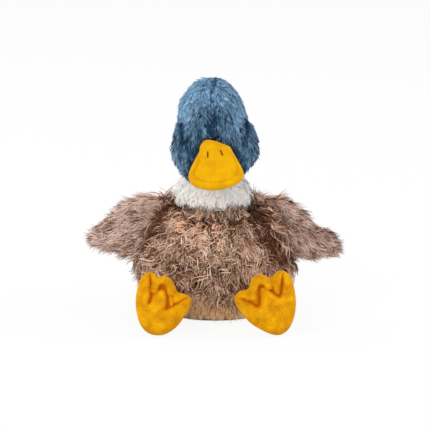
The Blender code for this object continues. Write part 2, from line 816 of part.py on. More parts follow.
def centre_on_origin():
    """Move the whole duck so that its box stands centred on the origin."""
    bpy.context.view_layer.update()
    depsgraph = bpy.context.evaluated_depsgraph_get()
    corners = []
    for item in duck.objects:
        if item.type == "MESH":
            shown = item.evaluated_get(depsgraph)
            corners += [item.matrix_world @ vert.co for vert in shown.data.vertices]
    for axis in (0, 1):
        values = [corner[axis] for corner in corners]
        root.location[axis] -= (min(values) + max(values)) / 2
    bpy.context.view_layer.update()


centre_on_origin()
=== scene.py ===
# %% [markdown]
# # A plush duck, dressed strand by strand
# The duck is a stuffed toy: sewn covers over loose fibre, with long curly pile on the body and
# wings, short silky pile on the head, white pile round the neck, and yellow velour on the bill,
# legs and feet. The solids that carry it are loaded first. Everything below is made to fit them.

import json
import math

import bmesh
import bpy
import numpy as np
from mathutils import Matrix, Vector
from mathutils.bvhtree import BVHTree
from mathutils.kdtree import KDTree

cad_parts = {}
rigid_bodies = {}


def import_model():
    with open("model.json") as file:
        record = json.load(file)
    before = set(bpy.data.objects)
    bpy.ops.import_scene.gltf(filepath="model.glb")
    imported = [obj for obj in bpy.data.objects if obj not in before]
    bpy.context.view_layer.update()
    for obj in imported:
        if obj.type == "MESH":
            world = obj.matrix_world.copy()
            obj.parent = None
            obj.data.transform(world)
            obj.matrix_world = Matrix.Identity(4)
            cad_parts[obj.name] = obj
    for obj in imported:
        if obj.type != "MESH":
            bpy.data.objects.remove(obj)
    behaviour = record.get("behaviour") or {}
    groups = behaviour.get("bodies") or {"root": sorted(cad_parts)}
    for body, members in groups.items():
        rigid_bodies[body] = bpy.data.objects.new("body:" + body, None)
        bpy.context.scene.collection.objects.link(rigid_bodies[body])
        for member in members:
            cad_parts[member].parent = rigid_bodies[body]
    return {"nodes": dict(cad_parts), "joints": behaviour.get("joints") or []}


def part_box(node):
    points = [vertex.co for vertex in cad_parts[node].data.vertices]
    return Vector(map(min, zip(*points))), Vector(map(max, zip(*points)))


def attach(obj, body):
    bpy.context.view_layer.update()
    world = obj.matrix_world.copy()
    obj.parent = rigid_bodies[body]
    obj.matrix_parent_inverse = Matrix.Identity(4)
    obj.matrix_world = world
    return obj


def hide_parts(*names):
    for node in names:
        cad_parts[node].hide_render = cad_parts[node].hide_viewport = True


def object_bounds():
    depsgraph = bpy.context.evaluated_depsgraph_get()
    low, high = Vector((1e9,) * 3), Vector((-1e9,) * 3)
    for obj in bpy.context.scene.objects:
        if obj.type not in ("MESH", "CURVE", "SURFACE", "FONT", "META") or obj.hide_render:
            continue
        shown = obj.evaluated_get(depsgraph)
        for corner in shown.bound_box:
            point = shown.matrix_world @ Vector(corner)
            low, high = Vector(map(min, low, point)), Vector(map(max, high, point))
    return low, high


for leftover in list(bpy.data.objects):
    bpy.data.objects.remove(leftover)
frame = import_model()
cad_low, cad_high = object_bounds()
mm = 0.001
print("Solids:", len(frame["nodes"]), "box", cad_low[:], cad_high[:])

# %% [markdown]
# ## The camera
# A product picture of a small toy is taken from far off with a long lens, a little above it. The
# picture is 430 pixels square, and near the toy's middle one pixel is 0.78 mm. With the camera
# written down, any pixel of the picture can be laid back onto a plane of the toy, which is how the
# outlines of the bill, the wings and the feet are found further down.

# %% Camera
picture_side = 430
pixel = 0.78 * mm
camera_rise = math.radians(12)
camera_distance = 2.2
aim = Vector((0, 0.005, 0.076))
look = Vector((0, math.cos(camera_rise), -math.sin(camera_rise)))
up_in_picture = Vector((0, math.sin(camera_rise), math.cos(camera_rise)))


def stand(name, data):
    """A new object of the scene that holds this data."""
    thing = bpy.data.objects.new(name, data)
    bpy.context.collection.objects.link(thing)
    return thing


camera_data = bpy.data.cameras.new("camera")
camera_data.lens = camera_data.sensor_width * camera_distance / (picture_side * pixel)
camera_data.clip_end = 20
camera = stand("camera", camera_data)
camera.location = aim - look * camera_distance
camera.rotation_euler = (math.pi / 2 - camera_rise, 0, 0)
bpy.context.scene.camera = camera
print("Lens, mm:", round(camera_data.lens, 1))


def seen_at(column, row, place, facing):
    """The point of a plane, given by a place and its facing, that shows at a pixel."""
    right = (column - picture_side / 2) * pixel
    rise = (picture_side / 2 - row) * pixel
    ray = look * camera_distance + Vector((right, 0, 0)) + up_in_picture * rise
    start = camera.location
    return start + ray * ((place - start).dot(facing) / ray.dot(facing))


def in_picture(points):
    """The column and row at which each point shows."""
    away = points - np.array(camera.location)
    scale = camera_distance / (away @ np.array(look)) / pixel
    beside = np.column_stack([away[:, 0], -away @ np.array(up_in_picture)])
    return picture_side / 2 + beside * scale[:, None]


# %% [markdown]
# ## Nodes
# A material is a tree of nodes. Colours are written as sRGB hex codes, as in a paint program, and
# one function turns them to the linear values that the shaders need. One more adds a node.

# %% Colours and nodes
def linear(code):
    """An sRGB hex colour as linear red, green and blue, with an alpha of 1."""
    channels = [int(code[i:i + 2], 16) / 255 for i in (1, 3, 5)]
    return [c / 12.92 if c <= 0.04045 else ((c + 0.055) / 1.055) ** 2.4 for c in channels] + [1.0]


def set_inputs(tree, node, inputs):
    """Gives inputs their values, or their links where an input is given a socket."""
    for key, value in inputs.items():
        if isinstance(value, bpy.types.NodeSocket):
            tree.links.new(value, node.inputs[key])
        else:
            node.inputs[key].default_value = value


def add(tree, kind, inputs=None, stops=(), **settings):
    """A node with its settings, its links and, for a colour ramp, the places of its colours."""
    node = tree.nodes.new(kind)
    for name, value in settings.items():
        setattr(node, name, value)
    set_inputs(tree, node, inputs or {})
    for _ in stops[2:]:
        node.color_ramp.elements.new(0.5)
    for number, (place, colour) in enumerate(stops):
        node.color_ramp.elements[number].position = place
        node.color_ramp.elements[number].color = linear(colour)
    return node


def seen_directly(tree):
    """1 for rays that show the background itself: camera, mirror and glass rays."""
    path = add(tree, "ShaderNodeLightPath").outputs
    first = add(tree, "ShaderNodeMath", {0: path["Is Camera Ray"], 1: path["Is Glossy Ray"]},
                operation="MAXIMUM")
    both = add(tree, "ShaderNodeMath", {0: first.outputs[0], 1: path["Is Transmission Ray"]},
               operation="MAXIMUM")
    return both.outputs[0]


# %% [markdown]
# ## Light and floor
# Soft light from all sides, as in a white tent, with one large lamp at the upper left. The lamps
# and the world stay at a plain level. The white background is made only for the camera's own rays,
# so it doesn't wash out the toy, and the paper keeps a tenth of its shading, which is the shadow.

# %% World
world_strength = 0.80
world = bpy.data.worlds.new("tent")
world.use_nodes = True
bpy.context.scene.world = world
tree = world.node_tree
tree.nodes.clear()
soft = add(tree, "ShaderNodeBackground", {"Color": linear("#F4F6FA"), "Strength": world_strength})
white = add(tree, "ShaderNodeBackground", {"Color": linear("#FFFFFF"), "Strength": 1.0})
mixed = add(tree, "ShaderNodeMixShader",
            {0: seen_directly(tree), 1: soft.outputs[0], 2: white.outputs[0]})
add(tree, "ShaderNodeOutputWorld", {"Surface": mixed.outputs[0]})
bpy.context.scene.view_settings.view_transform = "Standard"
print("World strength:", world_strength)


# %% Lamps
def add_lamp(name, place, size, watts, colour="#FFFFFF"):
    """A square soft lamp that shines at the toy's middle."""
    data = bpy.data.lights.new(name, "AREA")
    data.size = size
    data.energy = watts
    data.color = linear(colour)[:3]
    lamp = stand(name, data)
    lamp.location = place
    lamp.rotation_euler = (aim - Vector(place)).to_track_quat("-Z", "Y").to_euler()


add_lamp("key", (-0.9, -1.0, 1.3), 0.9, 9.0, "#FFFBF4")
add_lamp("fill", (-0.6, -1.8, 0.5), 1.0, 9.0)
add_lamp("rim_left", (-0.9, 0.9, 0.9), 0.7, 4.5)
add_lamp("side_right", (1.2, 0.0, 0.8), 0.8, 8.0)
print("Lamps:", len(bpy.data.lights))

# %% Floor
half_floor = 4.0
background_share = 0.90
corners = [(x * half_floor, y * half_floor, 0) for x, y in ((-1, -1), (1, -1), (1, 1), (-1, 1))]
floor_mesh = bpy.data.meshes.new("floor")
floor_mesh.from_pydata(corners, [], [(0, 1, 2, 3)])
floor = stand("floor", floor_mesh)
# Uncoated backdrop paper: nearly white and matt, so it shows a soft shadow and no highlight.
floor_paint = bpy.data.materials.new("matt_white_backdrop_paper")
floor_paint.use_nodes = True
tree = floor_paint.node_tree
tree.nodes.clear()
paper = add(tree, "ShaderNodeBsdfDiffuse", {"Color": linear("#EDEDEC")})
glow = add(tree, "ShaderNodeEmission", {"Color": linear("#FFFFFF"), "Strength": 1.0})
share = add(tree, "ShaderNodeMath", {0: seen_directly(tree), 1: background_share},
            operation="MULTIPLY")
mixed = add(tree, "ShaderNodeMixShader",
            {0: share.outputs[0], 1: paper.outputs[0], 2: glow.outputs[0]})
add(tree, "ShaderNodeOutputMaterial", {"Surface": mixed.outputs[0]})
floor_mesh.materials.append(floor_paint)
print("Floor, m:", 2 * half_floor)

# %% [markdown]
# ## The finishes
# Each finish is named for its cloth. Velour is a knitted cloth with a shorn pile under 1 mm, which
# hides the knit and scatters light: dull, with no highlight, and a little paler along edges, which
# the shader's sheen gives. Patches of 9 mm, where the nap lies one way, are lighter or darker.
# The fibres' own grain of a few hundredths of a millimetre would be too fine to show, so it is
# drawn at 0.5 mm, and a knit's loops of 0.5 mm are drawn at 1.2 to 1.5 mm.


# %% Cloth
def new_finish(name):
    """A new material with its tree and its general surface shader."""
    material = bpy.data.materials.new(name)
    material.use_nodes = True
    return material, material.node_tree, material.node_tree.nodes["Principled BSDF"]


nap_patch, nap_depth = 9 * mm, 0.25 * mm
napped_roughness, sheen_roughness, napped_gloss = 0.9, 0.45, 0.1


def cloth(name, base, deep, pale, sheen=0.35, grain=0.5 * mm, fold_shade=None):
    """A short napped cloth: a base colour with deeper and paler patches and a fine grain."""
    material, tree, shader = new_finish(name)
    where = add(tree, "ShaderNodeTexCoord").outputs["Object"]
    patches = add(tree, "ShaderNodeTexNoise",
                  {"Vector": where, "Scale": 1 / nap_patch, "Detail": 3.0, "Roughness": 0.6})
    fine = add(tree, "ShaderNodeTexNoise",
               {"Vector": where, "Scale": 1 / grain, "Detail": 4.0, "Roughness": 0.7})
    both = add(tree, "ShaderNodeMath", {0: patches.outputs["Fac"], 1: fine.outputs["Fac"]})
    tone = add(tree, "ShaderNodeMath", {0: both.outputs[0], 1: 0.5}, operation="MULTIPLY")
    colour = add(tree, "ShaderNodeValToRGB", {0: tone.outputs[0]},
                 stops=((0.36, deep), (0.5, base), (0.64, pale))).outputs[0]
    # Painted shade: given a fold colour, points that lie deep in folds are mixed towards it.
    if fold_shade:
        depth = add(tree, "ShaderNodeAttribute", attribute_name="fold").outputs["Fac"]
        colour = add(tree, "ShaderNodeMix", {0: depth, 6: colour, 7: linear(fold_shade)},
                     data_type="RGBA").outputs[2]
    rough = add(tree, "ShaderNodeBump",
                {"Height": fine.outputs["Fac"], "Distance": nap_depth, "Strength": 0.8})
    set_inputs(tree, shader, {
        "Base Color": colour, "Normal": rough.outputs[0], "Roughness": napped_roughness,
        "Sheen Weight": sheen, "Sheen Roughness": sheen_roughness, "Sheen Tint": linear(pale),
        "Specular IOR Level": napped_gloss})
    return material


# Polyester velour, knitted, napped and shorn: a strong even yellow with a soft dull face.
yellow_velour = cloth("yellow_polyester_velour", "#D89E00", "#C88C00", "#E2AC00", sheen=0.06)
# The same velour on the soles, crushed between the toes. Light that bounces from fold to fold
# takes on more of the dye, and that shade is painted: the folds are told apart by how deep each
# point lies, and are painted a deeper orange.
sole_velour = cloth("yellow_polyester_velour_of_the_soles", "#D29000", "#AE6C00", "#EEB20A",
                    sheen=0.2, fold_shade="#C46A00")
# Knitted backings, dyed as their pile is: all that shows of them is the dark between the strands.
brown_backing = cloth("brown_knitted_backing", "#5A453A", "#3B2B24", "#7A6253", 0.0, 1.5 * mm)
blue_backing = cloth("blue_knitted_backing", "#2C4A68", "#1E3550", "#3C5C7C", 0.0, 1.2 * mm)
beige_backing = cloth("beige_knitted_backing", "#B08562", "#946A4A", "#C9A07E", 0.0, 1.2 * mm)
white_backing = cloth("white_knitted_backing", "#F2EBE4", "#E6DCD4", "#FAF5F0", 0.0)
# Carded hollow polyester fibre: a white, airy wad with a faint sheen. Its fibres are too fine to
# show, so its small clumps are drawn instead, at 0.8 mm.
fibre_fill = cloth("white_polyester_filling", "#EDEDEA", "#DADAD6", "#F8F8F6", grain=0.8 * mm)
# Plain woven unbleached cotton: off-white and matt. Its weave of 0.3 mm is drawn at 0.6 mm.
bean_cloth = cloth("unbleached_cotton_bag", "#D8D3C6", "#C6C0B1", "#E6E2D8", grain=0.6 * mm)
# Spun polyester thread, a little browner than the velour it sinks into, which paints in the shade
# of its channel, and brown cotton floss.
# The grain of both is the twist of their plies, 0.3 mm.
yellow_thread = cloth("yellow_polyester_thread", "#DE8E00", "#CC7E00", "#F0A818", grain=0.3 * mm)
brown_thread = cloth("brown_cotton_floss", "#4A2A12", "#2C170A", "#6A4220", grain=0.3 * mm)
print("Materials so far:", len(bpy.data.materials))

# %% [markdown]
# Pile is made of real strands here, so its material only has to say how one fibre looks from its
# root to its worn tip. The root is painted dark, as painted shade deep in the pile, and the tip is
# painted pale, as painted light where it sticks out into the light. Neighbouring locks differ, so
# there are two ramps, a dark and a light one, and each strand sits somewhere between them. Which
# tone a strand has is written in its UV map: across, the map is cut into 32 columns, one for a
# tone, and up, it runs from root to tip. Real fibres are about 0.03 mm thick, too fine to show, so
# each strand stands for a bundle of them and has a radius of 0.2 to 0.4 mm.

# %% Pile
tone_columns = 32


def pile(name, dark_stops, light_stops, roughness=0.7, gloss=0.2):
    """Fibre that changes from root to tip, in a tone set by the column of its UV map."""
    material, tree, shader = new_finish(name)
    where = add(tree, "ShaderNodeUVMap", uv_map="OFBake").outputs[0]
    split = add(tree, "ShaderNodeSeparateXYZ", {0: where}).outputs
    step = add(tree, "ShaderNodeMath", {0: split[0], 1: tone_columns}, operation="MULTIPLY")
    whole = add(tree, "ShaderNodeMath", {0: step.outputs[0]}, operation="FLOOR")
    tone = add(tree, "ShaderNodeMath", {0: whole.outputs[0], 1: tone_columns - 1},
               operation="DIVIDE")
    dark, light = (add(tree, "ShaderNodeValToRGB", {0: split[1]}, stops=stops).outputs[0]
                   for stops in (dark_stops, light_stops))
    mixed = add(tree, "ShaderNodeMix", {0: tone.outputs[0], 6: dark, 7: light}, data_type="RGBA")
    set_inputs(tree, shader, {"Base Color": mixed.outputs[2], "Roughness": roughness,
                              "Specular IOR Level": gloss})
    return material


# Crimped polyester, steamed to curl: matt locks, dark brown inside and sandy at the tips.
curly_pile = pile("curly_brown_polyester_pile",
                  ((0.0, "#1E0E08"), (0.4, "#522E1E"), (1.0, "#86563E")),
                  ((0.0, "#A06848"), (0.35, "#F8C29E"), (1.0, "#FFE8D4")), 0.8, 0.08)
# The same fibre brushed straight, as on the wings, where it looks a little greyer.
straight_pile = pile("straight_brown_polyester_pile",
                     ((0.0, "#201008"), (0.4, "#563224"), (1.0, "#8A5E4E")),
                     ((0.0, "#9C6E56"), (0.35, "#F0C4AC"), (1.0, "#FCE8DC")), 0.8, 0.08)
# Fine straight polyester, sheared short: silky, so it has soft highlights along the strands.
silky_pile = pile("silky_blue_polyester_pile",
                  ((0.0, "#08192A"), (0.5, "#102C46"), (1.0, "#204E74")),
                  ((0.0, "#4078A8"), (0.5, "#88C0E8"), (1.0, "#CCE6F8")))
# Undyed white polyester: nearly no colour of its own, so shade between the strands shows it.
white_pile = pile("white_polyester_pile",
                  ((0.0, "#F6ECE2"), (0.5, "#FBF4EC"), (1.0, "#FDF9F4")),
                  ((0.0, "#FCF6F0"), (0.5, "#FFFCF8"), (1.0, "#FFFEFC")))
# Brushed short plush on the seat: a warm sand that darkens to tan at the roots.
beige_pile = pile("beige_brushed_pile",
                  ((0.0, "#C08A56"), (0.5, "#E4B080"), (1.0, "#F4C89C")),
                  ((0.0, "#E2AE7A"), (0.5, "#FFDCAE"), (1.0, "#FFEED2")))
print("Materials:", len(bpy.data.materials))

# %% [markdown]
# ## From solids to covers
# Shapes are told here by soft masks: a step that rises or falls over some millimetres, and a hill
# that fades to both sides of a line. Masks that are multiplied mean "here and there at once".

# %% Masks and distances
random_seed = 7
tiny = 1e-9


def unit(vectors):
    """The same directions, each of length one."""
    return vectors / np.maximum(np.linalg.norm(vectors, axis=-1, keepdims=True), 1e-12)


def smooth_step(values):
    """0 below 0, 1 above 1, and a soft S between."""
    part = np.clip(values, 0, 1)
    return part * part * (3 - 2 * part)


def rising(values, start, width):
    """0 up to a start and 1 from a width above it."""
    return smooth_step((values - start) / width)


def falling(values, start, width):
    """0 down to a start and 1 from a width below it."""
    return smooth_step((start - values) / width)


def hill(*distances_and_widths):
    """1 where all the distances are 0, and nearly 0 at twice their widths."""
    return np.exp(-sum((distance / width) ** 2 for distance, width in distances_and_widths))


def line_distance(points, corners, closed=False):
    """How far each point is from a line through the corners."""
    a = np.asarray(corners)
    b = np.roll(a, -1, axis=0)
    if not closed:
        a, b = a[:-1], b[:-1]
    best = np.full(len(points), np.inf)
    for start, end in zip(a, b):
        run = end - start
        t = np.clip((points - start) @ run / max(run @ run, 1e-16), 0, 1)
        best = np.minimum(best, np.linalg.norm(points - start - t[:, None] * run, axis=1))
    return best


print("Fewer strands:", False)

# %% [markdown]
# The loaded solids are coarse. A cover is made from them as cloth would lie on them: the pieces of
# one body part are joined, wrapped in an even skin of small squares, and smoothed. The result is
# drawn in by the length of the pile that will stand on it.


# %% Pieces and skins
def show(name, mesh, material, body, replaced=()):
    """Puts a mesh in the scene as a finished piece that rides on a body."""
    mesh.materials.clear()
    mesh.materials.append(material)
    piece = stand(name, mesh)
    if replaced:
        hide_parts(*replaced)
    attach(piece, body)
    return piece


def coordinates(mesh, what="co"):
    """The places, or the normals, of a mesh's points as an array."""
    source = mesh.vertices if what == "co" else mesh.vertex_normals
    values = np.empty(len(source) * 3, np.float32)
    source.foreach_get("co" if what == "co" else "vector", values)
    return values.reshape(-1, 3).astype(float)


def place_points(mesh, places):
    """Moves a mesh's points to these places."""
    mesh.vertices.foreach_set("co", places.astype(np.float32).ravel())
    mesh.update()


def add_squares(form, square):
    """Has a form remade in even squares, with no inside."""
    remesh = form.modifiers.new("squares", "REMESH")
    remesh.mode = "VOXEL"
    remesh.voxel_size = square


def as_it_is_now(form):
    """A new mesh of an object with its modifiers applied."""
    graph = bpy.context.evaluated_depsgraph_get()
    return bpy.data.meshes.new_from_object(form.evaluated_get(graph))


def wrap(name, nodes, square=1.6 * mm, smoothing=6, sink=0.0):
    """One closed skin round several solids, smoothed and drawn in by a distance."""
    verts, faces = [], []
    for node in nodes:
        solid = frame["nodes"][node]
        start = len(verts)
        verts += [solid.matrix_world @ vert.co for vert in solid.data.vertices]
        faces += [[start + i for i in face.vertices] for face in solid.data.polygons]
    mesh = bpy.data.meshes.new(name)
    mesh.from_pydata(verts, [], faces)
    form = stand(name, mesh)
    add_squares(form, square)
    form.modifiers.new("smooth", "SMOOTH").iterations = smoothing
    skin = as_it_is_now(form)
    bpy.data.objects.remove(form)
    skin.name = name
    skin.shade_smooth()
    place_points(skin, coordinates(skin) - coordinates(skin, "normal") * sink)
    return skin


# %% [markdown]
# The stuffing then blows the cover up a little. That is worked out by Blender's cloth simulation
# on a coarse copy, under pressure and for a few frames. The fine cover follows the copy's moves,
# and no point may move further than a cap, so that the cover stays in the space of its solid.

# %% Stuffing
puff_frames = 20
puff_pressure = 4.0
followed_points = 6


def nearest_points(places):
    """A tree that finds the nearest of many places."""
    tree = KDTree(len(places))
    for i, place in enumerate(places):
        tree.insert(place, i)
    tree.balance()
    return tree


def puff(mesh, cap, square=3.0 * mm, hold=None):
    """Swells a cover as its stuffing does: cloth under pressure, with a cap on how far it moves."""
    form = stand("swelling_cover", mesh.copy())
    add_squares(form, square)
    coarse = as_it_is_now(form)
    form.modifiers.clear()
    form.data = coarse
    swell = form.modifiers.new("swell", "CLOTH")
    swell.settings.use_pressure = True
    swell.settings.uniform_pressure_force = puff_pressure
    swell.settings.effector_weights.gravity = 0
    swell.point_cache.frame_end = puff_frames
    for number in range(1, puff_frames + 1):
        bpy.context.scene.frame_set(number)
    before, after = coordinates(coarse), coordinates(as_it_is_now(form))
    bpy.data.objects.remove(form)
    bpy.context.scene.frame_set(1)
    move = after - before
    far = np.linalg.norm(move, axis=1, keepdims=True)
    move *= np.minimum(1, cap / np.maximum(far, tiny))
    near = nearest_points(before)
    points = coordinates(mesh)
    followed = np.zeros_like(points)
    for i, point in enumerate(points):
        found = near.find_n(point, followed_points)
        weights = np.array([1 / (distance + 0.3 * square) for _, _, distance in found])
        followed[i] = weights @ move[[index for _, index, _ in found]] / weights.sum()
    if hold is not None:
        followed *= hold[:, None]
    place_points(mesh, points + followed)
    most = np.linalg.norm(followed, axis=1).max()
    print(mesh.name, "swells by up to", round(most / mm, 2), "mm")


def fill(name, node, body, inset=0.6 * mm, reshape=None):
    """The loose filling inside a cover, a smooth wad from its own solid."""
    wad = wrap(name, [node], square=2.0 * mm, smoothing=3, sink=inset)
    if reshape:
        place_points(wad, reshape(coordinates(wad)))
    show(name, wad, fibre_fill, body, [node])


pillow_inset = 1.3 * mm


def fill_pillow(name, cover, node, body):
    """The filling inside a thin cover: the cover's own form, drawn in."""
    wad = cover.copy()
    place_points(wad, coordinates(cover) - coordinates(cover, "normal") * pillow_inset)
    show(name, wad, fibre_fill, body, [node])


# %% [markdown]
# ## A coat of strands
# Real pile is fibres in locks: each lock follows one line, and its fibres spread at the root and
# meet near the tip. So guide lines are drawn first, with the nap's direction, a lift off the skin,
# a droop and a wave. Hair particles could be combed the same way, but they can't be exported as
# they are. Here every strand is a closed mesh with three sides, which also casts shadows.


# %% Roots and guide lines
def scatter(mesh, count, chance, draw):
    """Random places on a mesh, denser where chance is higher, with the skin's direction there."""
    mesh.calc_loop_triangles()
    corners = np.empty(len(mesh.loop_triangles) * 3, np.int32)
    mesh.loop_triangles.foreach_get("vertices", corners)
    corners = corners.reshape(-1, 3)
    points = coordinates(mesh)
    facing = coordinates(mesh, "normal")
    a, b, c = (points[corners[:, i]] for i in range(3))
    area = np.linalg.norm(np.cross(b - a, c - a), axis=1) / 2
    weight = area * chance((a + b + c) / 3, facing[corners[:, 0]])
    chosen = draw.choice(len(area), count, p=weight / weight.sum())
    u, v = draw.random((2, count, 1))
    over = u + v > 1
    u, v = np.where(over, 1 - u, u), np.where(over, 1 - v, v)
    place = a[chosen] + (b - a)[chosen] * u + (c - a)[chosen] * v
    normals = [facing[corners[chosen, i]] for i in range(3)]
    return place, unit(normals[0] * (1 - u - v) + normals[1] * u + normals[2] * v)


def comb(places, normals, nap, length, lift, droop, wave, turn, draw, steps):
    """Guide lines: they leave the skin at an angle, droop along the nap, and wave sideways."""
    count = len(places)
    flat = unit(nap - normals * np.sum(nap * normals, axis=1, keepdims=True))
    side = np.cross(normals, flat)
    swing = draw.normal(0, turn, (count, 1))
    flat = flat * np.cos(swing) + side * np.sin(swing)
    side = np.cross(normals, flat)
    rise = np.clip(draw.normal(lift, 0.18, (count, 1)), 0.05, 1.4)
    heading = flat * np.cos(rise) + normals * np.sin(rise)
    lie = unit(nap)
    phase = draw.random((count, 1)) * 2 * math.pi
    size, spacing = wave
    bend = draw.normal(0, 0.35, (count, 1))
    lines = [places]
    here = places
    for step in range(1, steps):
        part = step / (steps - 1)
        pull = (lie * 0.6 + flat * 0.4) * droop * part
        heading = unit(heading + pull + side * bend * 0.3)
        here = here + heading * length / (steps - 1)
        angle = phase + 2 * math.pi * part * length / spacing
        offset = side * np.cos(angle) + np.cross(heading, side) * np.sin(angle) * 0.7
        lines.append(here + offset * size * min(1.0, part * 2))
    return np.stack(lines, axis=1)


def clear_of(mesh, lines, least):
    """Guide lines lifted where they would run into a mesh."""
    skin = BVHTree.FromPolygons(
        [vert.co for vert in mesh.vertices], [face.vertices for face in mesh.polygons])
    steps = lines.shape[1]
    for line in lines:
        for step in range(1, steps):
            near, normal, _, _ = skin.find_nearest(Vector(line[step]))
            wanted = least * min(1.0, 2 * step / (steps - 1))
            height = (Vector(line[step]) - near).dot(normal)
            if height < wanted:
                line[step] += np.array(normal) * (wanted - height)
    return lines


# %% [markdown]
# A strand's mesh is a row of triangles round its path with one point at the tip. Its shading
# leans towards that of the skin under it, because a coat of fine fibres catches light much as the
# whole form does, and without that it looks like wire.

# %% Strands
skin_light = 0.45
askew = np.array([0.31, 0.52, 0.79])


def strands(paths, radius, tones, facing, soft):
    """Points, shading normals, triangles and UVs of closed three-sided strands along the paths."""
    count, steps, _ = paths.shape
    tangent = unit(np.gradient(paths, axis=1))
    first = unit(np.cross(tangent, askew))
    second = np.cross(tangent, first)
    part = np.linspace(0, 1, steps)
    girth = radius[:, None] * (0.75 + 0.5 * part - 1.0 * part ** 2)[None]
    turns = [2 * math.pi * corner / 3 for corner in range(3)]
    out = np.stack([first * math.cos(turn) + second * math.sin(turn) for turn in turns], axis=2)
    out = out[:, :-1]
    rings = (paths[:, :-1, None] + out * girth[:, :-1, None, None]).reshape(count, -1, 3)
    points = np.concatenate([rings, paths[:, -1:]], axis=1)
    lit = np.concatenate([out.reshape(count, -1, 3), tangent[:, -1:]], axis=1)
    lit = unit(lit * (1 - soft) + facing[:, None] * soft)
    per_strand = points.shape[1]
    faces, marks = [(0, 2, 1)], [((0, 0), (2, 0), (1, 0))]
    for step in range(steps - 2):
        for corner in range(3):
            low, low_after = 3 * step + corner, 3 * step + (corner + 1) % 3
            faces += [(low, low_after, low_after + 3), (low, low_after + 3, low + 3)]
            marks += [((corner, step), (corner + 1, step), (corner + 1, step + 1)),
                      ((corner, step), (corner + 1, step + 1), (corner, step + 1))]
    last = 3 * (steps - 2)
    for corner in range(3):
        faces.append((last + corner, last + (corner + 1) % 3, 3 * (steps - 1)))
        marks.append(((corner, steps - 2), (corner + 1, steps - 2), (corner + 0.5, steps - 1)))
    faces = np.array(faces)[None] + (np.arange(count) * per_strand)[:, None, None]
    marks = np.array(marks, float)
    column = np.clip((tones * tone_columns).astype(int), 0, tone_columns - 1)
    across = (column[:, None, None] + 0.1 + 0.8 * marks[None, :, :, 0] / 3) / tone_columns
    along = np.broadcast_to(0.02 + 0.96 * marks[None, :, :, 1] / (steps - 1), across.shape)
    marks = np.stack([across, along], -1).reshape(-1, 2)
    return points.reshape(-1, 3), lit.reshape(-1, 3), faces.reshape(-1, 3), marks


def triangle_mesh(name, points, lit, faces, marks):
    """A mesh from arrays of points, shading normals, triangles and UVs."""
    mesh = bpy.data.meshes.new(name)
    mesh.vertices.add(len(points))
    mesh.vertices.foreach_set("co", points.astype(np.float32).ravel())
    mesh.loops.add(faces.size)
    mesh.loops.foreach_set("vertex_index", faces.astype(np.int32).ravel())
    mesh.polygons.add(len(faces))
    mesh.polygons.foreach_set("loop_start", np.arange(0, faces.size, 3, dtype=np.int32))
    layer = mesh.uv_layers.new(name="OFBake")
    layer.data.foreach_set("uv", marks.astype(np.float32).ravel())
    mesh.update(calc_edges=True)
    mesh.shade_smooth()
    mesh.normals_split_custom_set_from_vertices(lit.astype(np.float32))
    return mesh


# %% [markdown]
# The strands follow their nearest guide: pinched towards it, spun a little round the root, each
# with its own frizz, thickness and tone. Tones differ from lock to lock, from strand to strand and
# in slow patches. A coat is cut into pieces by direction, so that no piece is larger than a set
# size.

# %% Coat
largest_piece = 190000
middle_tone, patch_tone = 0.42, 0.10
lowest = 0.3 * mm


def ripple(points, size, seed):
    """A smooth random value from -1 to 1 over space, with features of about this size."""
    draw = np.random.default_rng(seed)
    total = np.zeros(len(points))
    waves = 7
    for _ in range(waves):
        direction = unit(draw.normal(size=3)) * 2 * math.pi / (size * (1.2 + draw.random()))
        total += np.sin(points @ direction + draw.random() * 2 * math.pi)
    return total / math.sqrt(waves)


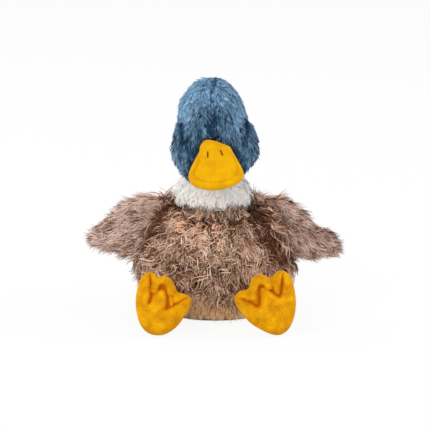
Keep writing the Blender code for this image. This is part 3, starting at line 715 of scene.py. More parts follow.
def coat(name, skin, material, body, count, guides, length, lift, droop, wave, nap, chance,
         turn, pinch, radius, seed, frizz=0.25 * mm, steps=6, least=1.0 * mm, patch=18 * mm,
         short=None, shade=None, spread=0.30, twist=0.25, soft=skin_light, over=()):
    """Covers a skin in pile. The strands go into as few pieces as the size of a piece allows."""
    draw = np.random.default_rng(random_seed * 100 + seed)
    places, normals = scatter(skin, guides, chance, draw)
    reach = length * draw.uniform(0.75, 1.15, (guides, 1))
    if short is not None:
        reach = reach * short(places)[:, None]
    lines = comb(places, normals, nap(places, normals), reach, lift, droop, wave, turn, draw, steps)
    for mesh in (skin, *over):
        lines = clear_of(mesh, lines, least)
    roots, facing = scatter(skin, count, chance, draw)
    near = nearest_points(places)
    owner = np.array([near.find(root)[1] for root in roots])
    part = np.linspace(0, 1, steps)[None, :, None]
    shift = (roots - places[owner])[:, None]
    shape = lines[owner] - places[owner][:, None]
    spin = draw.normal(0, twist, (count, 1, 1))
    axis = facing[:, None]
    shape = (shape * np.cos(spin) + np.cross(axis, shape) * np.sin(spin)
             + axis * np.sum(axis * shape, axis=2, keepdims=True) * (1 - np.cos(spin)))
    scale = draw.uniform(0.75, 1.1, (count, 1, 1))
    paths = places[owner][:, None] + shift * (1 - pinch * part ** 1.3) + shape * scale
    angle = draw.random((count, 1)) * 2 * math.pi + part[:, :, 0] * draw.uniform(4, 12, (count, 1))
    side = unit(np.cross(facing, draw.normal(size=(count, 3))))[:, None]
    paths = paths + side * np.sin(angle)[:, :, None] * frizz * part
    paths[:, :, 2] = np.maximum(paths[:, :, 2], lowest)
    tones = (middle_tone + spread * draw.normal(size=guides)[owner]
             + 0.6 * spread * draw.normal(size=count) + patch_tone * ripple(roots, patch, seed))
    # A shade function adds painted light and shade to the tones, besides real differences of tone.
    if shade is not None:
        tones = tones + shade(roots)
    radii = radius * draw.uniform(0.75, 1.25, count)
    per_strand = 6 * (steps - 2) + 4
    pieces = math.ceil(count * per_strand / largest_piece)
    middle = roots.mean(axis=0)
    order = np.argsort(np.arctan2(roots[:, 0] - middle[0], roots[:, 1] - middle[1]))
    for i, share in enumerate(np.array_split(order, pieces)):
        parts = strands(paths[share], radii[share], tones[share], facing[share], soft)
        mesh = triangle_mesh(f"{name}_{i + 1}", *parts)
        show(mesh.name, mesh, material, body)
    print(name, count, "strands in", pieces, "pieces,", count * per_strand, "triangles")


# %% [markdown]
# ## Body
# The body is a pear of curly pile, with a beige panel under it to sit on. The cover ends just
# below the seat's line. The seat's panel is pressed flat where it stands on the floor, as beans
# in a bag make it.

# %% Covers of the body and the seat
down = np.array([0.0, 0.0, -1.0])
joints = {joint["name"]: joint for joint in frame["joints"]}
neck_place = np.array(joints["head_turn"]["pos_m"])
seat_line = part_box("base_panel")[1][2]
seat_rise = 6 * mm
trunk_nodes = ["body_front_cover", "body_back_cover", "body_stuffing", "base_panel", "bean_bag"]
print("Seat line, mm:", round(seat_line / mm, 1))

body_skin = wrap("body_cover", trunk_nodes, sink=3.0 * mm)
points = coordinates(body_skin)
points[:, 2] = np.maximum(points[:, 2], seat_line - 2 * mm)
place_points(body_skin, points)
puff(body_skin, 1.0 * mm, square=4.5 * mm)
show("body_cover", body_skin, brown_backing, "body",
               ["body_front_cover", "body_back_cover"])
fill("body_filling", "body_stuffing", "body")

seat_skin = wrap("seat_panel", trunk_nodes, sink=1.0 * mm)
points = coordinates(seat_skin)
points[:, 2] -= 3.5 * mm * falling(points[:, 2], 16 * mm, 9 * mm)
points[:, 2] = np.clip(points[:, 2], 0.2 * mm, seat_line + seat_rise)
place_points(seat_skin, points)
show("seat_panel", seat_skin, beige_backing, "body", ["base_panel"])

# %% [markdown]
# The pile hangs down and is tousled: neighbouring locks point different ways. Over the shoulders
# it is brushed outward, towards the wings. Just below the collar it stands up as a ruff. At the
# bottom edge it hangs a little over the seat, with one long tuft in the middle.


# %% How the body's pile lies
def from_neck(places):
    """How far each place is from the middle of the neck."""
    return np.linalg.norm(places - neck_place, axis=1)


def body_nap(places, normals):
    """Down and a little outward from the middle, out over the shoulders, and up by the collar."""
    x, _, z = places.T
    nap = np.tile(down, (len(places), 1))
    nap[:, 0] += 0.35 * np.sign(x) * np.minimum(1, np.abs(x) / (30 * mm))
    nap[:, 1] -= 0.15
    shoulder = rising(np.abs(x), 26 * mm, 10 * mm) * rising(z - neck_place[2], -26 * mm, 10 * mm)
    nap[:, 0] += 1.6 * np.sign(x) * shoulder
    nap[:, 2] += 0.8 * shoulder
    ruff = falling(from_neck(places), 40 * mm, 9 * mm)
    ruff = (ruff * (1 - 0.8 * rising(np.abs(x), 18 * mm, 8 * mm)))[:, None]
    level = unit((places - neck_place) * (1, 1, 0))
    return nap * (1 - ruff) + ruff * (level * 0.5 - down)


def belly_tuft(places):
    """1 where one long tuft hangs from the middle of the belly."""
    return hill((places[:, 0] - 1 * mm, 8 * mm)) * (places[:, 1] < 0)


def body_chance(places, normals):
    """No strands where the neck or the seat hides the skin."""
    above = places[:, 2] - seat_line - (seat_rise - 2 * mm) * (1 - belly_tuft(places))
    return (from_neck(places) > 24 * mm) * (normals[:, 2] > -0.85) * (above > 0) + tiny


# %% [markdown]
# Between the belly and each wing the light doesn't reach the roots, and in the picture a dark
# hollow runs there, which is painted shade on the strands. Its line is given in pixels. A strand
# hangs some pixels out and down from its root, so the hollow is looked up where the strand's
# middle shows, not where it is rooted.

# %% Hollows under the wings
hollow_pixels = (((167.5, 214), (160.4, 232), (146, 243), (133.6, 250)),
                 ((249, 209), (257, 222), (264, 238), (272, 252), (288, 264)))
hollow_widths = (8.0, 9.5)
body_hang, wing_hang = (4, 7), (9, 4)


def under_wings(places, hang=body_hang):
    """1 where a strand's middle, which hangs some pixels out and down, is in such a hollow."""
    spots = in_picture(places) + np.sign(places[:, :1]) * (hang[0], 0) + (0, hang[1])
    hollow = [hill((line_distance(spots, line), width))
              for line, width in zip(hollow_pixels, hollow_widths)]
    return np.maximum(*hollow) * (places[:, 1] < 0)


def body_short(places):
    """Shorter pile near the neck, under the wings and along the bottom edge, and one long tuft."""
    x, _, z = places.T
    share = np.clip((from_neck(places) - 20 * mm) / (20 * mm), 0.7, 1.0)
    share += 0.4 * rising(np.abs(x), 28 * mm, 10 * mm) * (z > 0.07)
    tuft = belly_tuft(places)
    low = np.clip((seat_line + 12 * mm - z) / (12 * mm), 0, 1)
    return share * (1 + (0.5 * tuft - 0.65 * (1 - tuft)) * low) * (1 - 0.5 * under_wings(places))


def on_shoulders(places):
    """1 at the top of both shoulders, fading towards the chest."""
    aside = rising(np.abs(places[:, 0]), 24 * mm, 10 * mm)
    return aside * rising(places[:, 2] - neck_place[2], -22 * mm, 10 * mm)


def body_shade(places):
    """Painted shade in hollows and light by the collar; darker low, paler on chest and shoulders.
    """
    hollow = under_wings(places)
    low = falling(places[:, 2], 0.066, 26 * mm)
    high = rising(places[:, 2], 0.080, 12 * mm)
    # Painted light, against the shade that the collar casts on the pile just below it.
    by_collar = falling(from_neck(places), 44 * mm, 8 * mm)
    pale = 0.12 * high + 0.06 * on_shoulders(places) + 0.12 * by_collar
    return 0.03 - 0.16 * low + pale * (1 - hollow) - 1.2 * hollow


# %% [markdown]
# The coat has two layers: dense locks, and over them a few loose, paler curls that stand further
# off, which break up the outline and give the shag its depth.

# %% Pile of the body
coat("body_pile", body_skin, curly_pile, "body", count=16000, guides=3400,
     length=17 * mm, lift=0.62, droop=0.45, wave=(2.0 * mm, 13 * mm), nap=body_nap,
     chance=body_chance, turn=0.75, pinch=0.8, frizz=0.5 * mm, radius=0.38 * mm, steps=8,
     least=1.5 * mm, short=body_short, shade=body_shade, spread=0.42, seed=1)


def curl_chance(places, normals):
    """Loose curls everywhere but on the shoulders, at the bottom edge and under the wings."""
    keep = body_chance(places, normals) * (places[:, 2] > seat_line + 10 * mm)
    return keep * (1 - 0.9 * on_shoulders(places)) * (1 - under_wings(places)) + tiny


def curl_shade(places):
    """As the locks under them, but paler."""
    return body_shade(places) + 0.28


coat("body_curls", body_skin, curly_pile, "body", count=3000, guides=1100,
     length=19 * mm, lift=0.70, droop=0.55, wave=(2.4 * mm, 16 * mm), nap=body_nap,
     chance=curl_chance, turn=0.9, pinch=0.9, frizz=0.4 * mm, radius=0.42 * mm, steps=9,
     least=3.5 * mm, short=body_short, shade=curl_shade, spread=0.25, twist=0.2, seed=8)

# %% [markdown]
# The seat's plush is short and brushed. The lowest strands lean outward, so that they make a soft
# fringe on the floor, and are painted paler, as painted light from the white floor below.


# %% Pile of the seat
def seat_chance(places, normals):
    """No strands under the seat or higher than its edge."""
    return (normals[:, 2] > -0.6) * (places[:, 2] < seat_line + seat_rise - 1 * mm) + tiny


def seat_nap(places, normals):
    """Down and outward."""
    return down + unit(places * (1, 1, 0)) * 0.5


def seat_shade(places):
    """Painted light in the fringe by the floor, which lights it from below."""
    return 0.6 * (places[:, 2] < 7 * mm)


coat("seat_pile", seat_skin, beige_pile, "body", count=12000, guides=1500,
     length=5.0 * mm, lift=0.40, droop=0.4, wave=(0.2 * mm, 9 * mm), nap=seat_nap,
     chance=seat_chance, turn=0.3, pinch=0.3, radius=0.22 * mm, steps=4, least=0.7 * mm,
     shade=seat_shade, seed=2)

# %% [markdown]
# ## Tail
# A stub of the body's cloth. Its pile is combed backward and hides where it is sewn on.

# %% Tail
tail_skin = wrap("tail_cover", ["tail_cover", "tail_stuffing"], smoothing=3, sink=1.5 * mm)
show("tail_cover", tail_skin, brown_backing, "body", ["tail_cover"])
fill("tail_filling", "tail_stuffing", "body")
tail_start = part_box("tail_cover")[0][1]


def tail_nap(places, normals):
    """Backward and a little down."""
    return np.tile(np.array([0.0, 1.0, -0.1]), (len(places), 1))


def tail_chance(places, normals):
    """No strands on the part that is inside the body."""
    return (places[:, 1] > tail_start - 1 * mm) + tiny


coat("tail_pile", tail_skin, curly_pile, "body", count=2200, guides=380,
     length=11 * mm, lift=0.45, droop=0.3, wave=(0.8 * mm, 9 * mm), nap=tail_nap,
     chance=tail_chance, turn=0.45, pinch=0.5, frizz=0.6 * mm, radius=0.31 * mm, steps=7, seed=3)

# %% [markdown]
# ## Wings
# A wing is a flat bag of the same cloth with its pile combed outward and straighter. The solid
# gives its thickness and its seam, and the picture gives its upper and lower edge. A wing of its
# own shape could be modelled, but then it might miss the seam, so the solid's skin is moved: each
# slice across the wing is stretched to lie between the two edges, less the depth of the pile.

# %% Edges of the wings
wing_tip_share = 0.90
wing_length = cad_high[0] - joints["left_wing_swing"]["pos_m"][0]
wing_thin = 3.0 * mm
wing_pile_depth = 3.5 * mm
wing_outlines = {
    "right": (((163, 191), (146, 192), (125, 200), (109, 213), (98, 220), (91, 227), (88, 236)),
              ((150, 262), (131, 258), (123, 254), (107, 250), (94, 247), (88, 238))),
    "left": (((251, 192), (261, 190), (271, 192), (289, 200), (303, 208), (312, 220), (326, 226),
              (343, 238)),
             ((280, 262), (295, 258), (319, 257), (336, 256), (344, 249))),
}


def heights_along(pixels, place, side):
    """How high a line of the picture is over a wing's root, against how far out it is."""
    root, towards = Vector(place), Vector((0, -1, 0))
    spots = [seen_at(column, row, root, towards) - root for column, row in pixels]
    out, up = side * np.array([spot.x for spot in spots]), np.array([spot.z for spot in spots])
    order = np.argsort(out)
    return out[order], up[order]


# %% Wings
def make_wing(label, side, seed):
    """A wing's cover, filling and pile, with its upper and lower edge as in the picture."""
    covers = [f"wing_{part}_cover_{label}" for part in ("front", "back")]
    padding = f"wing_padding_{label}"
    root = np.array(joints[f"{label}_wing_swing"]["pos_m"])
    wanted_top, wanted_bottom = (heights_along(line, root, side) for line in wing_outlines[label])

    def outward(points):
        """How far out from the wing's root each point is."""
        return (points[:, 0] - root[0]) * side

    skin = wrap(f"wing_cover_{label}", covers + [padding], square=1.3 * mm, smoothing=2,
                sink=1.2 * mm)
    points = coordinates(skin)
    reach = outward(points)
    steps_out = np.linspace(0, reach.max(), 20)
    nearest = np.abs(reach[:, None] - steps_out).argmin(axis=1)
    slices = [points[nearest == i, 2] for i in range(len(steps_out))]
    tops, bottoms = (np.array([edge(heights) for heights in slices]) - root[2]
                     for edge in (np.max, np.min))

    def taper(points):
        """Moves the edges to the picture's, less the pile, and draws the tip in for its strands."""
        out = np.clip(outward(points), 0, wing_length)
        top, bottom = np.interp(out, steps_out, tops), np.interp(out, steps_out, bottoms)
        share = (points[:, 2] - root[2] - bottom) / np.maximum(top - bottom, wing_thin)
        new_top = np.interp(out, *wanted_top) - wing_pile_depth
        new_bottom = np.interp(out, *wanted_bottom) + wing_pile_depth
        centre = (new_top + new_bottom) / 2
        half = np.maximum(new_top - new_bottom, wing_thin) / 2
        new_low, new_high = centre - half, centre + half
        eased = smooth_step(out / (10 * mm) + 0.4)
        wanted = new_low + share * (new_high - new_low)
        points[:, 2] = root[2] + (points[:, 2] - root[2]) * (1 - eased) + wanted * eased
        beyond = outward(points)
        points[:, 0] = root[0] + side * beyond * np.where(beyond > 0, wing_tip_share, 1)
        return points

    def nap(places, normals):
        """Outward, sloping as the nearer edge does."""
        out = np.clip(outward(places), 4 * mm, wing_length * 0.9)
        ahead = out + 8 * mm
        top, bottom = (np.interp(out, *wanted) for wanted in (wanted_top, wanted_bottom))
        slopes = [(np.interp(ahead, *wanted) - np.interp(out, *wanted)) / (8 * mm)
                  for wanted in (wanted_bottom, wanted_top)]
        share = (places[:, 2] - root[2] - bottom) / np.maximum(top - bottom, wing_thin)
        share = np.clip(share, 0, 1)
        fall = slopes[0] * (1 - share) + slopes[1] * share - 0.35 * share
        fall = np.clip(fall, -1.4, -0.3)
        return np.column_stack([np.full(len(places), side), np.zeros(len(places)), fall])

    def chance(places, normals):
        """Denser at the root, where the strands have to hide the seam."""
        out = outward(places)
        return (out > -9 * mm) * (1 + 0.8 * (out < 6 * mm)) + tiny

    def short(places):
        """Longer at the shoulder, shorter at the tip."""
        return 1.1 - 0.15 * np.clip(outward(places) / wing_length, 0, 1)

    def shade(places):
        """Paler than the body, with painted shade where it meets the hollow beside the belly."""
        return 0.22 - 0.9 * under_wings(places, wing_hang)

    place_points(skin, taper(coordinates(skin)))
    puff(skin, 0.6 * mm)
    body = f"{label}_wing"
    show(skin.name, skin, brown_backing, body, covers)
    fill(f"wing_filling_{label}", padding, body, reshape=taper)
    coat(f"wing_pile_{label}", skin, straight_pile, body, count=9000, guides=1900,
         length=13 * mm, lift=0.28, droop=0.35, wave=(0.4 * mm, 10 * mm), nap=nap, chance=chance,
         turn=0.24, pinch=0.75, frizz=0.3 * mm, radius=0.32 * mm, steps=7, least=1.2 * mm,
         short=short, shade=shade, spread=0.36, twist=0.2, seed=seed)


make_wing("left", 1, 4)
make_wing("right", -1, 5)

# %% [markdown]
# ## Neck
# The white collar's pile points down and out and is longest at the lower edge, so that it lies
# over the brown. The collar is tucked in a little where it meets the body.

# %% Neck
collar_skin = wrap("collar", ["neck_collar", "neck_stuffing"], square=1.4 * mm, smoothing=3,
                   sink=0.9 * mm)
points = coordinates(collar_skin)
points[:, 2] = np.maximum(points[:, 2], neck_place[2] - 4 * mm)
points[:, 0] -= 2.4 * mm * rising(points[:, 0], 0, 24 * mm)
tucked = falling(points[:, 2], neck_place[2] + 4 * mm, 5 * mm)[:, None]
points[:, :2] = neck_place[:2] + (points[:, :2] - neck_place[:2]) * (1 - 0.10 * tucked)
place_points(collar_skin, points)
show("collar", collar_skin, white_backing, "neck", ["neck_collar"])
fill("neck_filling", "neck_stuffing", "neck", inset=1.0 * mm)


def collar_nap(places, normals):
    """Down and away from the neck."""
    nap = places - neck_place
    nap[:, 2] = 0
    return unit(nap) * 0.7 + down


def collar_chance(places, normals):
    """Only on the outer side of the collar's ring."""
    out = np.hypot(places[:, 0] - neck_place[0], places[:, 1] - neck_place[1])
    height = places[:, 2] - neck_place[2]
    return (out > 20 * mm) * (height > 1 * mm) * (height < 19 * mm) + tiny


def collar_short(places):
    """Longer at the lower edge, where the collar's pile lies over the body's."""
    return 1 + 0.4 * falling(places[:, 2], neck_place[2] + 9 * mm, 6 * mm)


coat("collar_pile", collar_skin, white_pile, "neck", count=9000, guides=1100,
     length=7.0 * mm, lift=0.24, droop=0.30, wave=(0.3 * mm, 14 * mm), nap=collar_nap,
     chance=collar_chance, turn=0.15, pinch=0.5, radius=0.26 * mm, least=0.8 * mm,
     short=collar_short, soft=0.75, seed=6)

# %% [markdown]
# ## Head
# A left and a right half, sewn along the middle. The seam pulls the cover in on the forehead,
# where the pile then parts in a slow zig-zag. The cheeks are full, with a crease above them, and
# nearly hide the eyes: each eye looks out of a narrow upright slit in the pile.

# %% Slits and seam
eye_places = {}
for label in ("left", "right"):
    low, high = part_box(f"eye_{label}")
    eye_places[label] = np.array((low + high) / 2)
eye_side, eye_height = eye_places["left"][0], eye_places["left"][2]
slit_shifts = {"left": 0.8 * mm, "right": -2.4 * mm}
slit_rises = {"left": 3.0 * mm, "right": 1.0 * mm}
far_away = 1000 * mm
brow, forehead_foot = 0.172, 0.138
print("Eyes, mm:", round(eye_side / mm, 1), "aside,", round(eye_height / mm, 1), "high")


def from_slits(places):
    """How far beside and above each eye's slit each place on the head's front is."""
    for label, place in eye_places.items():
        aside = places[:, 0] - place[0] - slit_shifts[label]
        in_front = places[:, 1] < -12 * mm
        yield np.where(in_front, aside, far_away), places[:, 2] - place[2] - slit_rises[label]


def seam_side(heights):
    """Where the parting runs, a slow zig-zag a little to the right hand of the toy."""
    return -1.6 * mm + 1.3 * mm * np.sin(2 * math.pi * (heights - eye_height) / (19 * mm) + 2.6)


# %% [markdown]
# No hand-sewn head is even: its crown leans to one side, and one cheek is fuller. How wide each
# side is at some heights is measured on the picture and kept as shares of the solid's width.

# %% Cover of the head
side_heights = (0.104, 0.112, 0.121, 0.131, 0.143, 0.151, 0.164, 0.176)
side_shares = {1: (0.80, 0.80, 0.91, 0.98, 0.98, 0.89, 0.92, 1.0),
               -1: (0.98, 0.98, 0.98, 1.0, 0.99, 0.99, 0.98, 1.0)}


def lean_head(points):
    """Leans and narrows the crown, draws in the jaw, and makes one cheek fuller."""
    # x and z are views into the points, so the points move with them.
    x, _, z = points.T
    x *= 1 - 0.15 * falling(z, 0.131, 26 * mm)
    for side, shares in side_shares.items():
        share = np.interp(z, side_heights, shares) - 1
        x *= 1 + share * rising(side * x, 0, 12 * mm)
    x *= 1 - 0.10 * rising(z, 0.166, 14 * mm)
    x -= 2.8 * mm * rising(z, eye_height, 22 * mm)
    z += 2.2 * mm * rising(z, 0.160, 20 * mm)
    return points


head_skin = wrap("head_cover", ["head_left_cover", "head_right_cover", "head_stuffing"],
                 sink=3.0 * mm)
points = coordinates(head_skin)
facing = coordinates(head_skin, "normal")
x, y, z = points.T
front = falling(y, 0, 15 * mm)
seam = 1.5 * mm * hill((x - seam_side(z), 1.8 * mm)) * front * rising(z, forehead_foot, 6 * mm)
crease_line = eye_height + 1 * mm + (np.abs(x) - eye_side) * 0.6
crease_reach = rising(np.abs(x), 15 * mm, 6 * mm) * smooth_step(-y / (14 * mm) + 0.4)
crease_reach *= 1 - 0.8 * rising(-x, 24 * mm, 5 * mm)
crease = 1.2 * mm * hill((z - crease_line, 2.2 * mm)) * crease_reach
cheek = 1.0 * mm * falling(z, crease_line, 5 * mm) * crease_reach * rising(z, 0.112, 8 * mm)
by_eyes = sum(1.8 * mm * hill((np.linalg.norm(points - place, axis=1), 6.5 * mm))
              for place in eye_places.values())
slits = sum(1.5 * mm * hill((aside, 1.2 * mm), (above + 2 * mm, 5 * mm))
            for aside, above in from_slits(points)) * front
place_points(head_skin, points - facing * (seam + crease - cheek + slits - by_eyes)[:, None])
puff(head_skin, 0.6 * mm, square=3.5 * mm)
place_points(head_skin, lean_head(coordinates(head_skin)))
show("head_cover", head_skin, blue_backing, "head",
               ["head_left_cover", "head_right_cover"])
fill("head_filling", "head_stuffing", "head", inset=4.2 * mm, reshape=lean_head)

# %% [markdown]
# ## Eyes
# Safety eyes are moulded of black polystyrene and tumbled to a polish, which gives a small sharp
# glint. Fine scuffs of about 2 mm vary the polish. Polystyrene's typical IOR is 1.59. It is set
# lower here, with less gloss, because wear and fluff dull the glint in the picture. Each dome is
# pressed into the cover, so most of it is hidden by the pile.

# %% Eyes
scuff_size = 2 * mm
black_plastic, tree, shader = new_finish("polished_black_polystyrene")
where = add(tree, "ShaderNodeTexCoord").outputs["Object"]
scuff = add(tree, "ShaderNodeTexNoise",
            {"Vector": where, "Scale": 1 / scuff_size, "Detail": 3.0})
polish = add(tree, "ShaderNodeMapRange",
             {"Value": scuff.outputs["Fac"], "To Min": 0.12, "To Max": 0.25})
set_inputs(tree, shader, {"Roughness": polish.outputs[0], "Base Color": linear("#080707"),
                          "IOR": 1.45, "Specular IOR Level": 0.3})
eye_radius, eye_dome, eye_press = 3.8 * mm, 2.4 * mm, 2.8 * mm
eye_back_share = 0.35
eye_meshes = []
for label, side in (("left", 1), ("right", -1)):
    outward = Vector((side * 0.7885, -0.5153, 0.3358))
    pressed = Vector(eye_places[label]) - Vector((side * 0.3, -0.85, 0.43)) * eye_press
    turn = outward.to_track_quat("Z", "Y").to_matrix().to_4x4()
    form = bmesh.new()
    bmesh.ops.create_uvsphere(form, u_segments=32, v_segments=16, radius=eye_radius)
    for vert in form.verts:
        vert.co.z *= eye_dome / eye_radius if vert.co.z > 0 else eye_back_share
    form.transform(Matrix.Translation(pressed) @ turn)
    mesh = bpy.data.meshes.new(f"eye_dome_{label}")
    form.to_mesh(mesh)
    form.free()
    mesh.shade_smooth()
    show(mesh.name, mesh, black_plastic, "head", [f"eye_{label}"])
    eye_meshes.append(mesh)
print("Eyes:", len(eye_meshes))

# %% [markdown]
# ## Pillows from an outline
# The bill and the feet are flat bags of velour: two panels sewn round an outline and stuffed. Each
# is built on its outline, which is read from the picture, as rings that shrink to the middle. The
# two sides share the outline's points, so the pillow is closed.


# %% Outlines
def evenly(line, count, endpoint):
    """Points at even distances along a line."""
    lengths = np.concatenate([[0], np.cumsum(np.linalg.norm(np.diff(line, axis=0), axis=1))])
    wanted = np.linspace(0, lengths[-1], count, endpoint=endpoint)
    return np.stack([np.interp(wanted, lengths, line[:, i]) for i in (0, 1)], axis=1)


def smooth_loop(corners, count):
    """A closed smooth curve through the corners, with evenly spaced points."""
    corners = np.array(corners, float)
    ends = [np.roll(corners, i, axis=0) for i in (1, 0, -1, -2)]
    t = np.linspace(0, 1, 24, endpoint=False)[None, :, None]
    a, b, c, d = (end[:, None] for end in ends)
    curve = 0.5 * (2 * b + (c - a) * t + (2 * a - 5 * b + 4 * c - d) * t ** 2
                   + (3 * b - a - 3 * c + d) * t ** 3)
    curve = curve.reshape(-1, 2)
    return evenly(np.vstack([curve, curve[:1]]), count, False)


def smooth_line(corners, count):
    """An open smooth curve through the corners, with evenly spaced points."""
    loop = smooth_loop(list(corners) + list(corners[-2:0:-1]), 400)
    first, last = (np.argmin(np.linalg.norm(loop - np.array(end), axis=1))
                   for end in (corners[0], corners[-1]))
    half = np.roll(loop, -first, axis=0)[:(last - first) % len(loop) + 1]
    return evenly(half, count, True)


def depth_inside(points, outline):
    """How deep each point is inside a closed outline, negative outside."""
    inside = np.zeros(len(points), bool)
    for start, end in zip(outline, np.roll(outline, -1, axis=0)):
        crosses = (start[1] > points[:, 1]) != (end[1] > points[:, 1])
        run = (end[1] - start[1]) or 1e-12
        meets = (end[0] - start[0]) * (points[:, 1] - start[1]) / run + start[0]
        inside ^= crosses & (points[:, 0] < meets)
    distance = line_distance(points, outline, closed=True)
    return np.where(inside, distance, -distance)


def on_plane(pixels, middle, across, along, facing):
    """Pixels as places on a plane, in metres across and along it."""
    places = [seen_at(column, row, middle, facing) - middle for column, row in pixels]
    return np.array([(place.dot(across), place.dot(along)) for place in places])


def middle_of(*nodes):
    """The middle of the box round some solids."""
    lows, highs = zip(*(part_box(node) for node in nodes))
    return (Vector(map(min, *lows)) + Vector(map(max, *highs))) / 2


# %% Pillows
def rounded(depth, radius):
    """The rounded edge of a pillow: 0 at the seam, 1 deeper in than the radius."""
    return np.sqrt(1 - (1 - np.clip(depth / radius, 0, 1)) ** 2)


def puckers(flat, size, seed):
    """Slow unevenness of stuffed cloth over a plane."""
    return 0.25 * mm * ripple(np.column_stack([flat, flat[:, :1] * 0]), size, seed)


def placer(middle, across, along, facing):
    """A function from places on the plane and heights over it to points of the scene."""
    axes = np.array([across, along, facing])

    def place_on(flat, height):
        """The points of the scene for places on the plane and their heights over it."""
        return np.array(middle) + np.column_stack([flat, height]) @ axes
    return place_on


def pillow(name, outline, middle, rows, front, back, place_on):
    """A closed mesh of two panels that meet along the outline."""
    around = len(outline)
    shares = 1 - (1 - np.linspace(0, 1, rows + 1)[1:]) ** 1.4
    flat = [middle[None]] + [middle + (outline - middle) * share for share in shares]
    flat = np.concatenate(flat)
    rim = len(flat) - around
    high, low = front(flat), back(flat)
    high[rim:] = 0
    verts = list(place_on(flat, high)) + list(place_on(flat[:rim], -low[:rim]))
    faces = []
    for sheet in (0, 1):
        def index(row, i, sheet=sheet):
            """The number of a ring's point. Both sheets share the points of the outline."""
            point = 1 + (row - 1) * around + i % around if row else 0
            return point + len(flat) * sheet if sheet and point < rim else point
        for i in range(around):
            ring = [(index(0, 0), index(1, i), index(1, i + 1))]
            faces += ring if sheet else [face[::-1] for face in ring]
        for row in range(1, rows):
            ring = [(index(row, i), index(row + 1, i), index(row + 1, i + 1), index(row, i + 1))
                    for i in range(around)]
            faces += ring if sheet else [face[::-1] for face in ring]
    mesh = bpy.data.meshes.new(name)
    mesh.from_pydata(verts, [], faces)
    form = bmesh.new()
    form.from_mesh(mesh)
    bmesh.ops.recalc_face_normals(form, faces=form.faces)
    form.to_mesh(mesh)
    form.free()
    mesh.shade_smooth()
    return mesh


# %% [markdown]
# ## Bill
# The bill points down over the collar at 44 degrees to the floor. A row of stitches runs round it,
# set in from the rim, and pulls the velour into a shallow channel. Two short brown stitches are
# the nostrils. Stitches lie on top of the stuffed face, so their pixels are laid on a plane that
# is raised by its height there.

# %% Lines of the bill
right_hand = Vector((1, 0, 0))
bill_slope = math.radians(44)
bill_normal = Vector((0, -math.sin(bill_slope), math.cos(bill_slope)))
bill_down = Vector((0, -math.cos(bill_slope), -math.sin(bill_slope)))
bill_middle = middle_of("bill_upper", "bill_lower")
bill_outline_pixels = (
    (204, 142.5), (209, 141.6), (216, 142.8), (224, 145.6), (230.4, 148.6), (233.2, 153.4),
    (236.6, 159), (240.6, 166), (243.4, 172.5), (243.2, 177.5), (238, 182.8), (227, 187.3),
    (213, 189.6), (201, 187.8), (193, 184.6), (188.8, 179), (189.4, 172), (195.2, 159.6),
    (198.9, 153), (200.2, 147),
)
stitch_pixels = ((233, 154.5), (237.5, 165.5), (237.2, 172), (232, 177), (222, 180.5),
                 (212, 181.5), (202, 180), (195.5, 176.5), (194, 171.5), (199.5, 160.5))
nostril_pixels = (((207.8, 151.8), (207.8, 157.0)), ((220.5, 150.4), (222.6, 155.2)))
stitch_height, nostril_height = 4.6 * mm, 5.6 * mm

bill_axes = (bill_middle, right_hand, bill_down, bill_normal)
bill_loop = smooth_loop(bill_outline_pixels, 80)
bill_outline = smooth_loop(on_plane(bill_outline_pixels, *bill_axes), 220)
bill_stitches = on_plane(stitch_pixels, bill_middle + bill_normal * stitch_height, *bill_axes[1:])
bill_stitch_line = smooth_line(bill_stitches, 90)
nostril_lines = [on_plane(pair, bill_middle + bill_normal * nostril_height, *bill_axes[1:])
                 for pair in nostril_pixels]
print("Bill's middle, mm:", [round(part / mm, 1) for part in bill_middle])

# %% Cover of the bill
bill_half_thickness = 6.5 * mm


def bill_front(flat):
    """The stuffed face, thinner towards the tip, with its channel and the nostrils' dimples."""
    depth = depth_inside(flat, bill_outline)
    tip = np.clip((flat[:, 1] + 18 * mm) / (36 * mm), 0, 1)
    height = bill_half_thickness * rounded(depth, 5.5 * mm) * (1.0 - 0.30 * tip)
    height -= 1.1 * mm * hill((line_distance(flat, bill_stitch_line), 0.9 * mm))
    for line in nostril_lines:
        height -= 0.7 * mm * hill((line_distance(flat, line), 1.2 * mm))
    return height + puckers(flat, 12 * mm, 3) * rounded(depth, 4 * mm)


def bill_back(flat):
    """The underside, plain and a little flatter."""
    return bill_half_thickness * 0.8 * rounded(depth_inside(flat, bill_outline), 6 * mm)


on_bill = placer(*bill_axes)
bill_mesh = pillow("bill", bill_outline, bill_outline.mean(axis=0), 44, bill_front, bill_back,
                   on_bill)
away = coordinates(bill_mesh) - np.array(bill_middle)
bill_flat = away @ np.array([right_hand, bill_down]).T
under_bill = away @ np.array(bill_normal) < 0
puff(bill_mesh, 0.4 * mm, square=2.4 * mm,
     hold=np.clip(depth_inside(bill_flat, bill_outline) / (3 * mm), 0, 1) * under_bill)
show("bill", bill_mesh, yellow_velour, "head",
               ["bill_upper", "bill_lower"])
fill_pillow("bill_filling", bill_mesh, "bill_padding", "head")
print("Bill points:", len(bill_mesh.vertices))


# %% Stitches
def thread(name, lines, radius, material, replaced):
    """Sewing thread along one or more lines, as closed round tubes in one piece."""
    curve = bpy.data.curves.new(name, "CURVE")
    curve.dimensions = "3D"
    curve.bevel_depth = radius
    curve.bevel_resolution = 2
    curve.use_fill_caps = True
    for line in lines:
        spline = curve.splines.new("POLY")
        spline.points.add(len(line) - 1)
        for spot, point in zip(spline.points, line):
            spot.co = (*point, 1)
    piece = stand(name, curve)
    mesh = as_it_is_now(piece)
    bpy.data.objects.remove(piece)
    mesh.name = name
    mesh.shade_smooth()
    show(name, mesh, material, "head", replaced)


